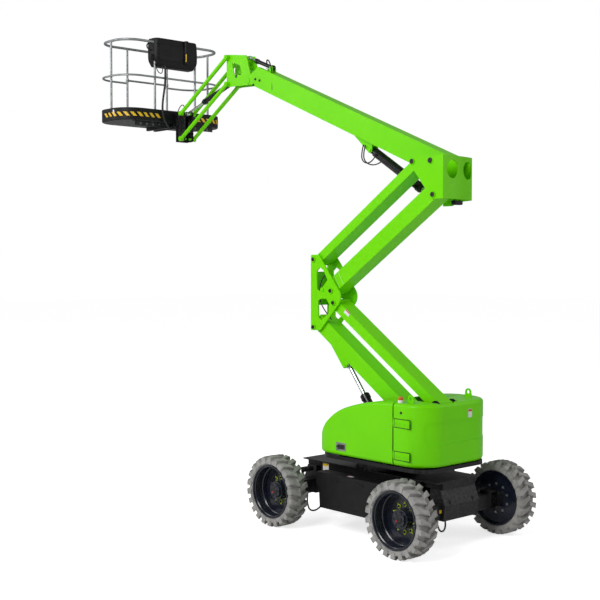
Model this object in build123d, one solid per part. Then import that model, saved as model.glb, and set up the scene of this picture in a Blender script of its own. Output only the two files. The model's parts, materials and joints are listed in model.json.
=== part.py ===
from build123d import *

import os
from collections import namedtuple
from math import atan2, cos, degrees, hypot, radians, sin

# Self-propelled articulating boom lift: four-wheel chassis, turntable with moulded hoods,
# a two-stage parallel riser, an upper boom beside it, a four-tube jib and a work cage.
# Millimetres. +X runs to the cage end, +Y to the machine's left, +Z up, ground at Z = 0.
# Places are given from the middle of the wheels; the last lines shift the whole machine
# so that its origin is under the middle of its overall length and width.

# ---------------------------------------------------------------- driving dimensions
WHEELBASE = 1856.0
TYRE_RADIUS = 390.0
TYRE_WIDTH = 236.0
TRACK_OUTER = 1806.0              # over the tyres' outer faces
RIM_RADIUS = 290.0
LUG_HEIGHT = 20.0
LUG_COUNT = 22
HUB_RADIUS = 100.0

RISER_ANGLE = 34.0                # slope of the four riser links as the machine stands
LINK_LENGTH = 1800.0              # between the pins of every riser link
LINK_WIDTH = 200.0
LINK_WALL = 6.0
RISER_Y = 105.0                   # middle plane of the riser links
PLATE = 15.0                      # knuckle and pedestal side plates
LINK_GAP = 20.0                   # from a link's side to the plate beside it
PIN_RADIUS = 20.0
PIN_FIT = 0.5                     # radial clearance of a pin in its bore
PIN_HEAD = 12.0                   # how far a pin's head stands out of its plate
BOSS_WALL = 18.0
EAR_GAP = 64.0                    # between the two ears that hold a cylinder's eye
EAR_PLATE = 12.0
EYE_WIDTH = 50.0
EYE_GAP = 6.0                     # from a cylinder's eye to the stub pins on its two sides
JIB_PIN = 14.0                    # radius of the pins at the nose, jib and cage

BOOM_Y = -129.0                   # middle plane of the upper boom, jib and cylinders
BOOM_ANGLE = 23.0                 # slope of the upper boom as the machine stands
BOOM_WIDTH = 180.0
JIB_ANGLE = 32.0                  # how far the jib hangs below the level
HEAD_NEAR = 240.0                 # the boom head's outer faces, left and right of the middle plane
HEAD_FAR = 285.0
HEAD_PLATE = 12.0

TURNTABLE_TOP = 835.0
HOOD_HALF_WIDTH = 560.0
HOOD_BOTTOM = 848.0
HOOD_TOP = 1488.0
HOOD_FRONT = 590.0
HOOD_REAR = -1020.0
HOOD_SPLIT = -612.0               # where the rear hood ends
HOOD_WALL = 10.0
HOOD_EDGE = 40.0                  # rounding of the hood's rims
HOOD_FRONT_CORNER = 230.0
HOOD_REAR_CORNER = 300.0
CHANNEL_HALF = 272.0              # half width of the gap between the doors that the riser folds into
DOOR_GAP = 16.0                   # open joint between a door and the rear hood
HOOD_LIP = 30.0                   # flange along the hood's lower edge

CAGE_LENGTH = 1690.0              # along Y
CAGE_DEPTH = 750.0                # along X
CAGE_CORNER = 300.0
CAGE_Y = -107.0
RAIL_HEIGHT = 1035.0              # floor to the top rail's middle
MID_HEIGHT = 570.0
RAIL_RADIUS = 17.0
MID_RADIUS = 13.0
POST_RADIUS = 15.0
RAIL_INSET = 46.0                 # from the toe board's outer face to the top rail's middle
POST_SPACING = 330.0              # side posts, left and right of the cage's middle

Point = namedtuple("Point", "x z")


def from_point(start, angle, distance):
    """The point at a distance from another, along a slope in the XZ plane."""
    return Point(start.x + distance * cos(radians(angle)), start.z + distance * sin(radians(angle)))


def offset_point(start, dx, dz):
    return Point(start.x + dx, start.z + dz)


# ---------------------------------------------------------------- pivots of the lifting gear
RISER_MAIN_FOOT = Point(-566.0, 1169.0)
RISER_TIE_FOOT = offset_point(RISER_MAIN_FOOT, -324.0, 284.0)
KNUCKLE_MAIN_LOW = from_point(RISER_MAIN_FOOT, RISER_ANGLE, LINK_LENGTH)
KNUCKLE_TIE_LOW = offset_point(KNUCKLE_MAIN_LOW, -324.0, 284.0)
KNUCKLE_TIE_HIGH = offset_point(KNUCKLE_MAIN_LOW, 0.0, 765.0)
KNUCKLE_MAIN_HIGH = offset_point(KNUCKLE_TIE_HIGH, -280.0, -350.0)
HEAD_TIE = from_point(KNUCKLE_TIE_HIGH, 180.0 - RISER_ANGLE, LINK_LENGTH)
HEAD_MAIN = offset_point(HEAD_TIE, -280.0, -350.0)
BOOM_PIVOT = offset_point(HEAD_TIE, -245.0, -4.0)

NOSE_RUN = 3446.0                 # boom pivot to nose pivot, along the boom and below its pivot line
NOSE_DROP = 156.0
NOSE_PIVOT = from_point(from_point(BOOM_PIVOT, BOOM_ANGLE, NOSE_RUN), BOOM_ANGLE - 90.0, NOSE_DROP)
JIB_LENGTH = 1150.0
JIB_UPPER_TOP = offset_point(NOSE_PIVOT, 415.0, 342.0)
JIB_SPREAD = 335.0                # between the upper and the lower jib tubes' pins
JIB_LOWER_TOP = offset_point(JIB_UPPER_TOP, 0.0, -JIB_SPREAD)
CAGE_UPPER_PIN = from_point(JIB_UPPER_TOP, -JIB_ANGLE, JIB_LENGTH)
CAGE_LOWER_PIN = offset_point(CAGE_UPPER_PIN, 0.0, -JIB_SPREAD)

RISER_CYL_FOOT = Point(-187.0, 885.0)
RISER_CYL_EYE = Point(487.0, 1763.0)
LUFF_CYL_FOOT = offset_point(BOOM_PIVOT, 1168.0, 206.0)
LUFF_CYL_EYE = offset_point(HEAD_MAIN, 255.0, -44.0)

JIB_CYL_FOOT = offset_point(NOSE_PIVOT, 258.0, 88.0)
LEVEL_FOOT_RUN = 3166.0           # the levelling cylinder's ends, along the boom and above its pivot line
LEVEL_FOOT_RISE = 100.0
LEVEL_EYE_RUN = 3638.0
LEVEL_EYE_RISE = 90.0
LEVEL_FOOT = from_point(BOOM_PIVOT, BOOM_ANGLE, LEVEL_FOOT_RUN)
LEVEL_FOOT = from_point(LEVEL_FOOT, BOOM_ANGLE + 90.0, LEVEL_FOOT_RISE)
LEVEL_EYE = from_point(from_point(BOOM_PIVOT, BOOM_ANGLE, LEVEL_EYE_RUN), BOOM_ANGLE + 90.0, LEVEL_EYE_RISE)

ENTRY_LIFT = 380.0                # how far the entry bar slides up its posts
DOOR_HINGE = Point(HOOD_SPLIT + DOOR_GAP / 2, HOOD_HALF_WIDTH - 8.0)   # x and y of a door's upright hinge

PLATE_LOW_Y = RISER_Y - LINK_WIDTH / 2 - LINK_GAP - PLATE
PLATE_HIGH_Y = RISER_Y + LINK_WIDTH / 2 + LINK_GAP + PLATE


# ---------------------------------------------------------------- shapes used many times
def along_y(radius, y_low, y_high, at):
    """A round bar along Y, centred on a pivot."""
    return Pos(at.x, (y_low + y_high) / 2, at.z) * Rot(90, 0, 0) * Cylinder(radius, y_high - y_low)


def upright(sketch, y_low, y_high):
    """A sketch of (x, z) stood up in the XZ plane and made a solid between two Y planes."""
    return Pos(0, y_high, 0) * Rot(90, 0, 0) * extrude(sketch, y_high - y_low)


def outline(points, corner=0.0):
    """A flat outline of (x, z) corners, all rounded alike."""
    sketch = Polygon(*[(p[0], p[1]) for p in points], align=None)
    if corner:
        sketch = fillet(sketch.vertices(), corner)
    return sketch


def round_hull(discs):
    """The flat hull round some discs, each given as (x, z, radius)."""
    edges = []
    for x, z, radius in discs:
        edges += (Pos(x, z) * Circle(radius)).edges()
    return make_hull(edges)


def turned(shape, start, angle):
    """A shape modelled along +X from the origin, moved to a pivot and sloped up by an angle."""
    return Pos(start.x, 0, start.z) * Rot(0, -angle, 0) * shape


def mirrored_y(shape):
    return mirror(shape, Plane.XZ)


def pinned(plates, at, y_low, y_high):
    """Side plates with a pivot pin through them, flush on the boom's side and with a head on the other."""
    pin = along_y(PIN_RADIUS, y_low, y_high, at)
    return plates + pin + along_y(PIN_RADIUS + 12, y_high, y_high + PIN_HEAD, at)


def side_by_side(left):
    """A piece and its mirror image on the other side of the middle plane, as one node."""
    return Compound(children=[left, mirrored_y(left)])


def box_link(length, depth, rise, y_middle, width, wall, ends=(20.0, 20.0)):
    """A box-section link along +X with a bored boss at each end.

    rise is how far the section's middle lies above the line between the pins.
    """
    run = length + ends[0] + ends[1]
    middle = (length + ends[1] - ends[0]) / 2
    section = Box(run, width, depth) - Box(run, width - 2 * wall, depth - 2 * wall)
    link = Pos(middle, y_middle, rise) * section
    boss = PIN_RADIUS + BOSS_WALL
    for x in (0.0, length):
        link += along_y(boss, y_middle - width / 2, y_middle + width / 2, Point(x, 0.0))
    for x in (0.0, length):
        link -= along_y(PIN_RADIUS + PIN_FIT, y_middle - width, y_middle + width, Point(x, 0.0))
    return link


# ---------------------------------------------------------------- wheels
def tyre():
    """A solid rubber tyre about the Y axis with chevron lugs that wrap over its shoulders."""
    half = TYRE_WIDTH / 2
    carcass = TYRE_RADIUS - LUG_HEIGHT
    profile = Polygon(
        (RIM_RADIUS, -half + 12), (RIM_RADIUS + 22, -half), (carcass - 26, -half), (carcass, -half + 30),
        (carcass, half - 30), (carcass - 26, half), (RIM_RADIUS + 22, half), (RIM_RADIUS, half - 12),
        align=None)
    body = Rot(90, 0, 0) * revolve(Plane.XZ * profile, Axis.Z)
    lug_sketch = Polygon(
        (carcass - 60, -half - 4), (TYRE_RADIUS - 10, -half - 4), (TYRE_RADIUS, -half + 14),
        (TYRE_RADIUS, 6), (carcass - 60, 6), align=None)
    lug_slice = extrude(Plane.XZ * lug_sketch, 27, both=True)
    lug = Rot(90, 0, 0) * lug_slice
    step = 360.0 / LUG_COUNT
    for index in range(LUG_COUNT):
        body += Rot(0, index * step, 0) * lug
        body += Rot(0, (index + 0.5) * step, 0) * mirrored_y(lug)
    return body


def rim():
    """A deep-dished rim with its disc set inboard and a hub in its middle, outboard towards +Y."""
    half = TYRE_WIDTH / 2
    disc = -half + 40
    profile = Polygon(
        (RIM_RADIUS - 0.3, half - 4), (RIM_RADIUS - 0.3, -half + 4), (RIM_RADIUS - 14, -half + 4),
        (RIM_RADIUS - 26, disc), (70, disc), (70, disc + 16), (RIM_RADIUS - 42, disc + 16),
        (RIM_RADIUS - 38, disc + 70), (RIM_RADIUS - 28, disc + 78), (RIM_RADIUS - 24, half - 30),
        (RIM_RADIUS - 14, half - 22), (RIM_RADIUS - 14, half - 4), align=None)
    dish = revolve(Plane.XZ * profile, Axis.Z)
    hub = Pos(0, 0, disc + 16 + 40) * Cylinder(HUB_RADIUS, 80)
    hub += Pos(0, 0, disc + 16 + 90) * Cylinder(HUB_RADIUS - 24, 20)
    hub += Pos(0, 0, disc + 7) * Cylinder(72, 20)
    return Rot(-90, 0, 0) * (dish + hub)


WHEEL_Y = TRACK_OUTER / 2 - TYRE_WIDTH / 2
WHEELS = {
    "front_left": (WHEELBASE / 2, WHEEL_Y),
    "front_right": (WHEELBASE / 2, -WHEEL_Y),
    "rear_left": (-WHEELBASE / 2, WHEEL_Y),
    "rear_right": (-WHEELBASE / 2, -WHEEL_Y),
}

# ---------------------------------------------------------------- chassis
FRAME_SIDE = 300.0
FRAME_HALF = WHEELBASE / 2 - 188.0   # half length of the frame's box between the axles
FRAME_BOTTOM = 330.0
FRAME_TOP = 690.0
FRAME_DECK = 12.0                 # top plate, which overhangs the box
DECK_OVERHANG = 30.0
AXLE_BEAM = 150.0
HOUSING_RISE = 222.0              # axle housing above the axle's middle, where the frame rests
HOUSING_HALF = 270.0
AXLE_SEAT = TYRE_RADIUS + HOUSING_RISE
DISC_INNER = WHEEL_Y - TYRE_WIDTH / 2 + 37.0   # inboard face of the wheel's disc
KINGPIN_Y = DISC_INNER - 129.0
KINGPIN_RADIUS = 24.0
KNUCKLE_RADIUS = 42.0
STEER_ARM = 130.0                 # kingpin to the steering rod's eye
STEER_ROD_RISE = 36.0             # steering rod above the axle's middle
STEER_ROD_RADIUS = 15.0
COVER_OUTER = WHEEL_Y - TYRE_WIDTH / 2 - 212.0   # outer face of the tray covers beside the frame
COVER_FRONT = WHEELBASE / 2 - 428.0
COVER_REAR = -WHEELBASE / 2 + 482.0   # leaves the steered tyres their room


def chassis_frame():
    frame = Box(2 * FRAME_HALF, 2 * FRAME_SIDE, FRAME_TOP - FRAME_BOTTOM)
    frame = chamfer(frame.edges().group_by(Axis.Z)[0].filter_by(Axis.X), 60)
    frame = Pos(0, 0, (FRAME_TOP + FRAME_BOTTOM) / 2) * frame
    deck_end = WHEELBASE / 2 + AXLE_BEAM / 2
    deck = Box(2 * deck_end, 2 * (FRAME_SIDE + DECK_OVERHANG), FRAME_DECK)
    frame += Pos(0, 0, FRAME_TOP - FRAME_DECK / 2) * deck
    for end in (1, -1):
        block = Box(AXLE_BEAM + 160, 2 * HOUSING_HALF - 40, FRAME_TOP - AXLE_SEAT)
        frame += Pos(end * (deck_end - AXLE_BEAM / 2 - 80), 0, (FRAME_TOP + AXLE_SEAT) / 2) * block
    return frame


def axle_housing():
    """The boxed middle of an axle, its sloped outer face towards +X."""
    inner = -AXLE_BEAM / 2
    profile = outline([(inner, -90), (102, -90), (122, 65), (62, HOUSING_RISE), (inner, HOUSING_RISE)])
    return upright(profile, -HOUSING_HALF, HOUSING_HALF)


def front_axle():
    axle = Box(AXLE_BEAM, 2 * (DISC_INNER - 104), AXLE_BEAM) + axle_housing()
    motor = along_y(95, DISC_INNER - 114, DISC_INNER - 1, Point(0, 0))
    axle += motor
    axle += mirrored_y(motor)
    return Pos(WHEELBASE / 2, 0, TYRE_RADIUS) * axle


def rear_axle():
    beam = Box(AXLE_BEAM, 2 * (KINGPIN_Y - 70), AXLE_BEAM) + Rot(0, 0, 180) * axle_housing()
    fork = Pos(0, -15, 92) * Box(110, 120, 28)
    fork += Pos(0, -15, -92) * Box(110, 120, 28)
    fork += Pos(0, -60, 0) * Box(110, 30, 212)
    fork -= Cylinder(KINGPIN_RADIUS + PIN_FIT, 300)
    fork -= Pos(55, -60, 0) * Box(76, 40, 44)
    placed = Pos(0, KINGPIN_Y, 0) * fork
    beam += placed
    beam += mirrored_y(placed)
    return Pos(-WHEELBASE / 2, 0, TYRE_RADIUS) * beam


def steer_knuckle():
    """The left steered knuckle with its kingpin, steering arm and wheel motor."""
    body = Cylinder(KNUCKLE_RADIUS, 146)
    body += Cylinder(KINGPIN_RADIUS, 240)
    body += along_y(55, 20, 85, Point(0, 0))
    body += along_y(90, 82, DISC_INNER - KINGPIN_Y - 1, Point(0, 0))
    arm = Pos(STEER_ARM / 2, 0, 0) * Box(STEER_ARM + 30, 40, 24)
    return Pos(-WHEELBASE / 2, KINGPIN_Y, TYRE_RADIUS) * (body + arm)


def steer_cylinder():
    """The double-ended steering cylinder's barrel, carried on the rear axle."""
    at = Point(-WHEELBASE / 2 + STEER_ARM, TYRE_RADIUS + STEER_ROD_RISE)
    body = along_y(34, -150, 150, at)
    reach = STEER_ARM - AXLE_BEAM / 2
    for y in (-110, 110):
        body += Pos(at.x - reach / 2, y, at.z) * Box(reach, 30, 50)
    return body - along_y(STEER_ROD_RADIUS + 2, -200, 200, at)


def steer_rod():
    at = Point(-WHEELBASE / 2 + STEER_ARM, TYRE_RADIUS + STEER_ROD_RISE)
    rod = along_y(STEER_ROD_RADIUS, -KINGPIN_Y + 8, KINGPIN_Y - 8, at)
    for y in (-KINGPIN_Y, KINGPIN_Y):
        rod += Pos(at.x, y, at.z) * Cylinder(24, 32)
    return rod


def side_cover():
    """The left tray cover: a closed box with a cut-back front edge and a raised lid."""
    top = FRAME_TOP - FRAME_DECK - 38.0
    front, rear = COVER_FRONT, COVER_REAR
    face = outline([
        (front, top), (front, 520), (front - 45, 440), (front - 59, 255), (rear, 255), (rear, top)], 12)
    lid = outline([
        (front - 48, top - 60), (front - 48, 520), (front - 95, 440), (front - 95, 290),
        (rear + 40, 290), (rear + 40, top - 60)], 12)
    cover = upright(face, FRAME_SIDE, COVER_OUTER - 6)
    return cover + upright(lid, COVER_OUTER - 6, COVER_OUTER)


def slew_ring():
    ring = Cylinder(330, 60) - Cylinder(250, 60)
    return Pos(0, 0, FRAME_TOP + 30) * ring


# ---------------------------------------------------------------- turntable
EYE_PLACE = Point(-750.0, 1532.0)  # bore of a lifting eye
EYE_Y = 450.0
EYE_PLATE = 14.0
EYE_BORE = 20.0
EYE_NECK = 50.0                   # half width of the eye plate where it passes the hood


def turntable():
    deck = Pos(-215, 0, TURNTABLE_TOP - 40) * extrude(RectangleRounded(1540, 1060, 200), 40)
    deck += Pos(0, 0, FRAME_TOP + 60.3 + 22.5) * Cylinder(325, 45)
    plates = round_hull([
        (RISER_TIE_FOOT.x, RISER_TIE_FOOT.z, 55), (RISER_MAIN_FOOT.x, RISER_MAIN_FOOT.z, 70),
        (-960, TURNTABLE_TOP + 10, 20), (-400, TURNTABLE_TOP + 10, 20)])
    table = deck
    for y_low in (PLATE_LOW_Y, PLATE_HIGH_Y - PLATE):
        table += upright(plates, y_low, y_low + PLATE)
    for foot in (RISER_TIE_FOOT, RISER_MAIN_FOOT):
        table = pinned(table, foot, PLATE_LOW_Y, PLATE_HIGH_Y)
    ear = round_hull([(RISER_CYL_FOOT.x, RISER_CYL_FOOT.z, 36), (RISER_CYL_FOOT.x - 50, TURNTABLE_TOP, 8),
                      (RISER_CYL_FOOT.x + 40, TURNTABLE_TOP, 8)])
    for y_low in (RISER_Y - EAR_GAP / 2 - EAR_PLATE, RISER_Y + EAR_GAP / 2):
        table += upright(ear, y_low, y_low + EAR_PLATE)
    table += along_y(PIN_RADIUS, RISER_Y - EAR_GAP / 2 - 20, RISER_Y + EAR_GAP / 2 + 20, RISER_CYL_FOOT)
    return table


# ---------------------------------------------------------------- hood
def hood_side(margin):
    """The hood's side outline: an upright rear, a level top and a back that falls to the front in arcs."""
    rear = HOOD_REAR + margin
    front = HOOD_FRONT - margin
    top = HOOD_TOP - margin
    bottom = HOOD_BOTTOM + margin
    back = TangentArc((HOOD_SPLIT, top), (120, 1365 - margin), tangent=(1, 0))
    brow = TangentArc((120, 1365 - margin), (450 - margin * 0.7, 1140 - margin * 0.7), tangent=back % 1)
    chin = TangentArc((450 - margin * 0.7, 1140 - margin * 0.7), (front, 930), tangent=brow % 1)
    edges = [
        Line((rear, bottom), (rear, top)), Line((rear, top), (HOOD_SPLIT, top)), back, brow, chin,
        Line((front, 930), (front - 20, 895)), Line((front - 20, 895), (front - 90, bottom)),
        Line((front - 90, bottom), (rear, bottom))]
    return make_face(edges)


def hood_plan(margin, z_low, z_high):
    """The hood's plan outline, drawn in by a margin, as a solid between two levels."""
    length = HOOD_FRONT - HOOD_REAR - 2 * margin
    plan = Rectangle(length, 2 * (HOOD_HALF_WIDTH - margin))
    plan = fillet(plan.vertices().group_by(Axis.X)[0], HOOD_REAR_CORNER - margin)
    plan = fillet(plan.vertices().group_by(Axis.X)[-1], HOOD_FRONT_CORNER - margin)
    return Pos((HOOD_FRONT + HOOD_REAR) / 2, 0, z_low) * extrude(plan, z_high - z_low)


def hood_body(margin):
    """The hood's closed form before its rims are rounded, drawn in by a margin."""
    half = HOOD_HALF_WIDTH - margin
    return upright(hood_side(margin), -half, half) & hood_plan(margin, HOOD_BOTTOM - 100, HOOD_TOP + 100)


def hood_form(margin, edge):
    """The hood's closed form with its rims rounded, drawn in by a margin."""
    body = hood_body(margin)
    upright_edges = body.edges().filter_by(Axis.Z)
    level_edges = body.edges().filter_by(Axis.Y)
    rims = body.edges() - upright_edges - level_edges
    rims += level_edges.group_by(Axis.X)[0]
    return fillet(rims, edge)


HOOD_OUTER = hood_form(0.0, HOOD_EDGE)
HOOD_INNER = hood_form(HOOD_WALL, HOOD_EDGE * 0.6)
HOOD_MOUTH = hood_plan(HOOD_WALL + HOOD_LIP, HOOD_BOTTOM - 1, HOOD_BOTTOM + HOOD_WALL + 1)
RECESS = 5.0                      # depth of the bare panel pressed into the rear hood


def hood_window(x_low, x_high, y_low, y_high, z_low=800.0, z_high=1600.0):
    size = Box(x_high - x_low, y_high - y_low, z_high - z_low)
    return Pos((x_low + x_high) / 2, (y_low + y_high) / 2, (z_low + z_high) / 2) * size


HINGE_RADIUS = 7.0
HINGE_PIN = 4.0
HINGE_HEIGHT = 40.0
HINGE_LEVELS = (955.0, 1288.0)


def hood_door():
    """The left swing-out door of the hood, an open shell hinged at its rear edge."""
    start = HOOD_SPLIT + DOOR_GAP
    shell = HOOD_OUTER & hood_window(start, HOOD_FRONT + 10, CHANNEL_HALF, HOOD_HALF_WIDTH + 10)
    shell -= HOOD_INNER
    shell -= HOOD_MOUTH
    for level in HINGE_LEVELS:
        leaf = Box(start + 12 - DOOR_HINGE.x, 8, HINGE_HEIGHT)
        shell += Pos((start + 12 + DOOR_HINGE.x) / 2, DOOR_HINGE.z, level) * leaf
        shell += Pos(DOOR_HINGE.x, DOOR_HINGE.z, level) * Cylinder(HINGE_RADIUS, HINGE_HEIGHT)
        shell -= Pos(DOOR_HINGE.x, DOOR_HINGE.z, level) * Cylinder(HINGE_PIN + 0.3, HINGE_HEIGHT + 20)
    return shell


def hood_rear():
    shell = HOOD_OUTER & hood_window(HOOD_REAR - 10, HOOD_SPLIT, -HOOD_HALF_WIDTH - 10, HOOD_HALF_WIDTH + 10)
    shell -= HOOD_INNER
    shell -= HOOD_MOUTH
    slot = (PLATE_LOW_Y - 30, PLATE_HIGH_Y + 30)
    shell -= hood_window(HOOD_SPLIT - 350, HOOD_SPLIT + 1, *slot, HOOD_TOP - 150)
    rear_face = Plane(origin=(HOOD_REAR - 10, -20, 1190), x_dir=(0, 1, 0), z_dir=(1, 0, 0))
    panel = rear_face * RectangleRounded(960, 220, 60)
    shell -= extrude(panel, 300) - hood_body(RECESS)
    shell -= hood_window(-995, -955, 40, 290, HOOD_TOP - 110, HOOD_TOP + 1)
    pin_gap = HINGE_HEIGHT / 2 + 2
    for level in HINGE_LEVELS:
        shell += Pos(DOOR_HINGE.x, DOOR_HINGE.z, level) * Cylinder(HINGE_PIN, HINGE_HEIGHT + 30)
        shell += Pos(DOOR_HINGE.x, -DOOR_HINGE.z, level) * Cylinder(HINGE_PIN, HINGE_HEIGHT + 30)
        for rise in (pin_gap + 6, -pin_gap - 6):
            for side in (1, -1):
                lug = Box(DOOR_GAP / 2 + 16, 8, 12)
                shell += Pos(DOOR_HINGE.x - DOOR_GAP / 4 - 6, side * DOOR_HINGE.z, level + rise) * lug
    for side in (1, -1):
        neck = Box(2 * (EYE_NECK + 6), EYE_PLATE + 8, 300)
        shell -= Pos(EYE_PLACE.x, side * EYE_Y, HOOD_TOP) * neck
    return shell


def counterweight():
    """One of the two cast weights that fill the hood's rear corners."""
    room = hood_body(HOOD_WALL + 20)
    block = room & hood_window(-985, -820, 265, 530, TURNTABLE_TOP, TURNTABLE_TOP + 380)
    foot = hood_window(-905, -820, 265, 405, TURNTABLE_TOP, TURNTABLE_TOP + 100)
    return side_by_side(block + foot)


def power_pack():
    return Pos(-100, 395, TURNTABLE_TOP + 180) * Box(700, 190, 360)


def lifting_eye():
    """The left eye plate, which stands on the turntable and comes up through the hood."""
    shoulder = HOOD_TOP - 60
    sketch = round_hull([(EYE_PLACE.x, EYE_PLACE.z, 38), (EYE_PLACE.x - 40, shoulder, 10),
                         (EYE_PLACE.x + 40, shoulder, 10)])
    neck = Rectangle(2 * EYE_NECK - 20, shoulder - TURNTABLE_TOP)
    sketch += Pos(EYE_PLACE.x, (TURNTABLE_TOP + shoulder) / 2) * neck
    sketch -= Pos(EYE_PLACE.x, EYE_PLACE.z) * Circle(EYE_BORE)
    return upright(sketch, EYE_Y - EYE_PLATE / 2, EYE_Y + EYE_PLATE / 2)


def beacon():
    base = Pos(0, 0, 14) * Cylinder(26, 28)
    lens = Pos(0, 0, 45) * Cylinder(22, 34)
    lens = fillet(lens.edges().group_by(Axis.Z)[-1], 10)
    return Pos(-655, 500, HOOD_TOP + 0.3) * (base + lens)


# ---------------------------------------------------------------- riser
Link = namedtuple("Link", "start end depth rise")
LOWER_BOOM = Link(RISER_MAIN_FOOT, KNUCKLE_MAIN_LOW, 176.0, 69.0)
LOWER_TIE = Link(RISER_TIE_FOOT, KNUCKLE_TIE_LOW, 110.0, -25.0)
UPPER_BOOM = Link(HEAD_MAIN, KNUCKLE_MAIN_HIGH, 171.0, 50.0)
UPPER_TIE = Link(HEAD_TIE, KNUCKLE_TIE_HIGH, 100.0, -20.0)


def riser_link(link):
    slope = degrees(atan2(link.end.z - link.start.z, link.end.x - link.start.x))
    bar = box_link(LINK_LENGTH, link.depth, link.rise, RISER_Y, LINK_WIDTH, LINK_WALL)
    return turned(bar, link.start, slope)


def riser_lower_boom():
    """The lower main link with the ears that the riser cylinder lifts it by."""
    link = LOWER_BOOM
    boom = riser_link(link)
    eye_run = (RISER_CYL_EYE.x - link.start.x) * cos(radians(RISER_ANGLE))
    eye_run += (RISER_CYL_EYE.z - link.start.z) * sin(radians(RISER_ANGLE))
    eye_rise = (RISER_CYL_EYE.z - link.start.z) * cos(radians(RISER_ANGLE))
    eye_rise -= (RISER_CYL_EYE.x - link.start.x) * sin(radians(RISER_ANGLE))
    bottom = link.rise - link.depth / 2
    slot = Pos(eye_run - 110, RISER_Y, bottom) * Box(360, 124, 4 * LINK_WALL)
    boom -= turned(slot, link.start, RISER_ANGLE)
    ear = round_hull([
        (eye_run, eye_rise, 30), (eye_run - 30, bottom + 4, 8), (eye_run + 330, bottom + 2, 8)])
    for y_low in (RISER_Y - 66 - EAR_PLATE, RISER_Y + 66):
        boom += turned(upright(ear, y_low, y_low + EAR_PLATE), link.start, RISER_ANGLE)
        head = along_y(PIN_RADIUS, y_low - 8, y_low + EAR_PLATE + 8, RISER_CYL_EYE)
        boom += head
    return boom


def knuckle():
    """The casting between the two link pairs: two slotted side plates, a front web and the pins."""
    top = KNUCKLE_TIE_HIGH
    low = KNUCKLE_MAIN_LOW
    plate = round_hull([
        (top.x + 30, top.z + 34, 18), (top.x - 72, top.z + 34, 18), (low.x + 30, low.z - 19, 18),
        (low.x - 96, low.z - 15, 18), (KNUCKLE_MAIN_HIGH.x - 33, KNUCKLE_MAIN_HIGH.z - 66, 118)])
    upper_slot = [(-48, -135), (-100, -88), (-158, -123), (-228, -230), (-96, -358), (-56, -335)]
    lower_slot = [(-72, -465), (-118, -440), (-205, -443), (-252, -496), (-245, -602), (-128, -684),
                  (-80, -655)]
    for slot in (upper_slot, lower_slot):
        plate -= outline([(top.x + x, top.z + z) for x, z in slot], 18)
    body = upright(plate, PLATE_LOW_Y, PLATE_LOW_Y + PLATE)
    body += upright(plate, PLATE_HIGH_Y - PLATE, PLATE_HIGH_Y)
    middle = (top.z + low.z) / 2 + 52
    body += Pos(top.x + 38, RISER_Y, middle) * Box(10, PLATE_HIGH_Y - PLATE_LOW_Y, 380)
    for pin in (low, KNUCKLE_TIE_LOW, KNUCKLE_MAIN_HIGH, top):
        body = pinned(body, pin, PLATE_LOW_Y, PLATE_HIGH_Y)
    for spare in (offset_point(top, -143, -338), offset_point(top, -326, -478)):
        body += along_y(24, PLATE_HIGH_Y, PLATE_HIGH_Y + PIN_HEAD, spare)
    return body


HEAD_BACK_RADIUS = 1320.0         # the boom head's back plate is rolled to this radius
HEAD_BACK_Y = 120.0               # where the rolled plate stands furthest back
HEAD_HOLE = 93.0


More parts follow.
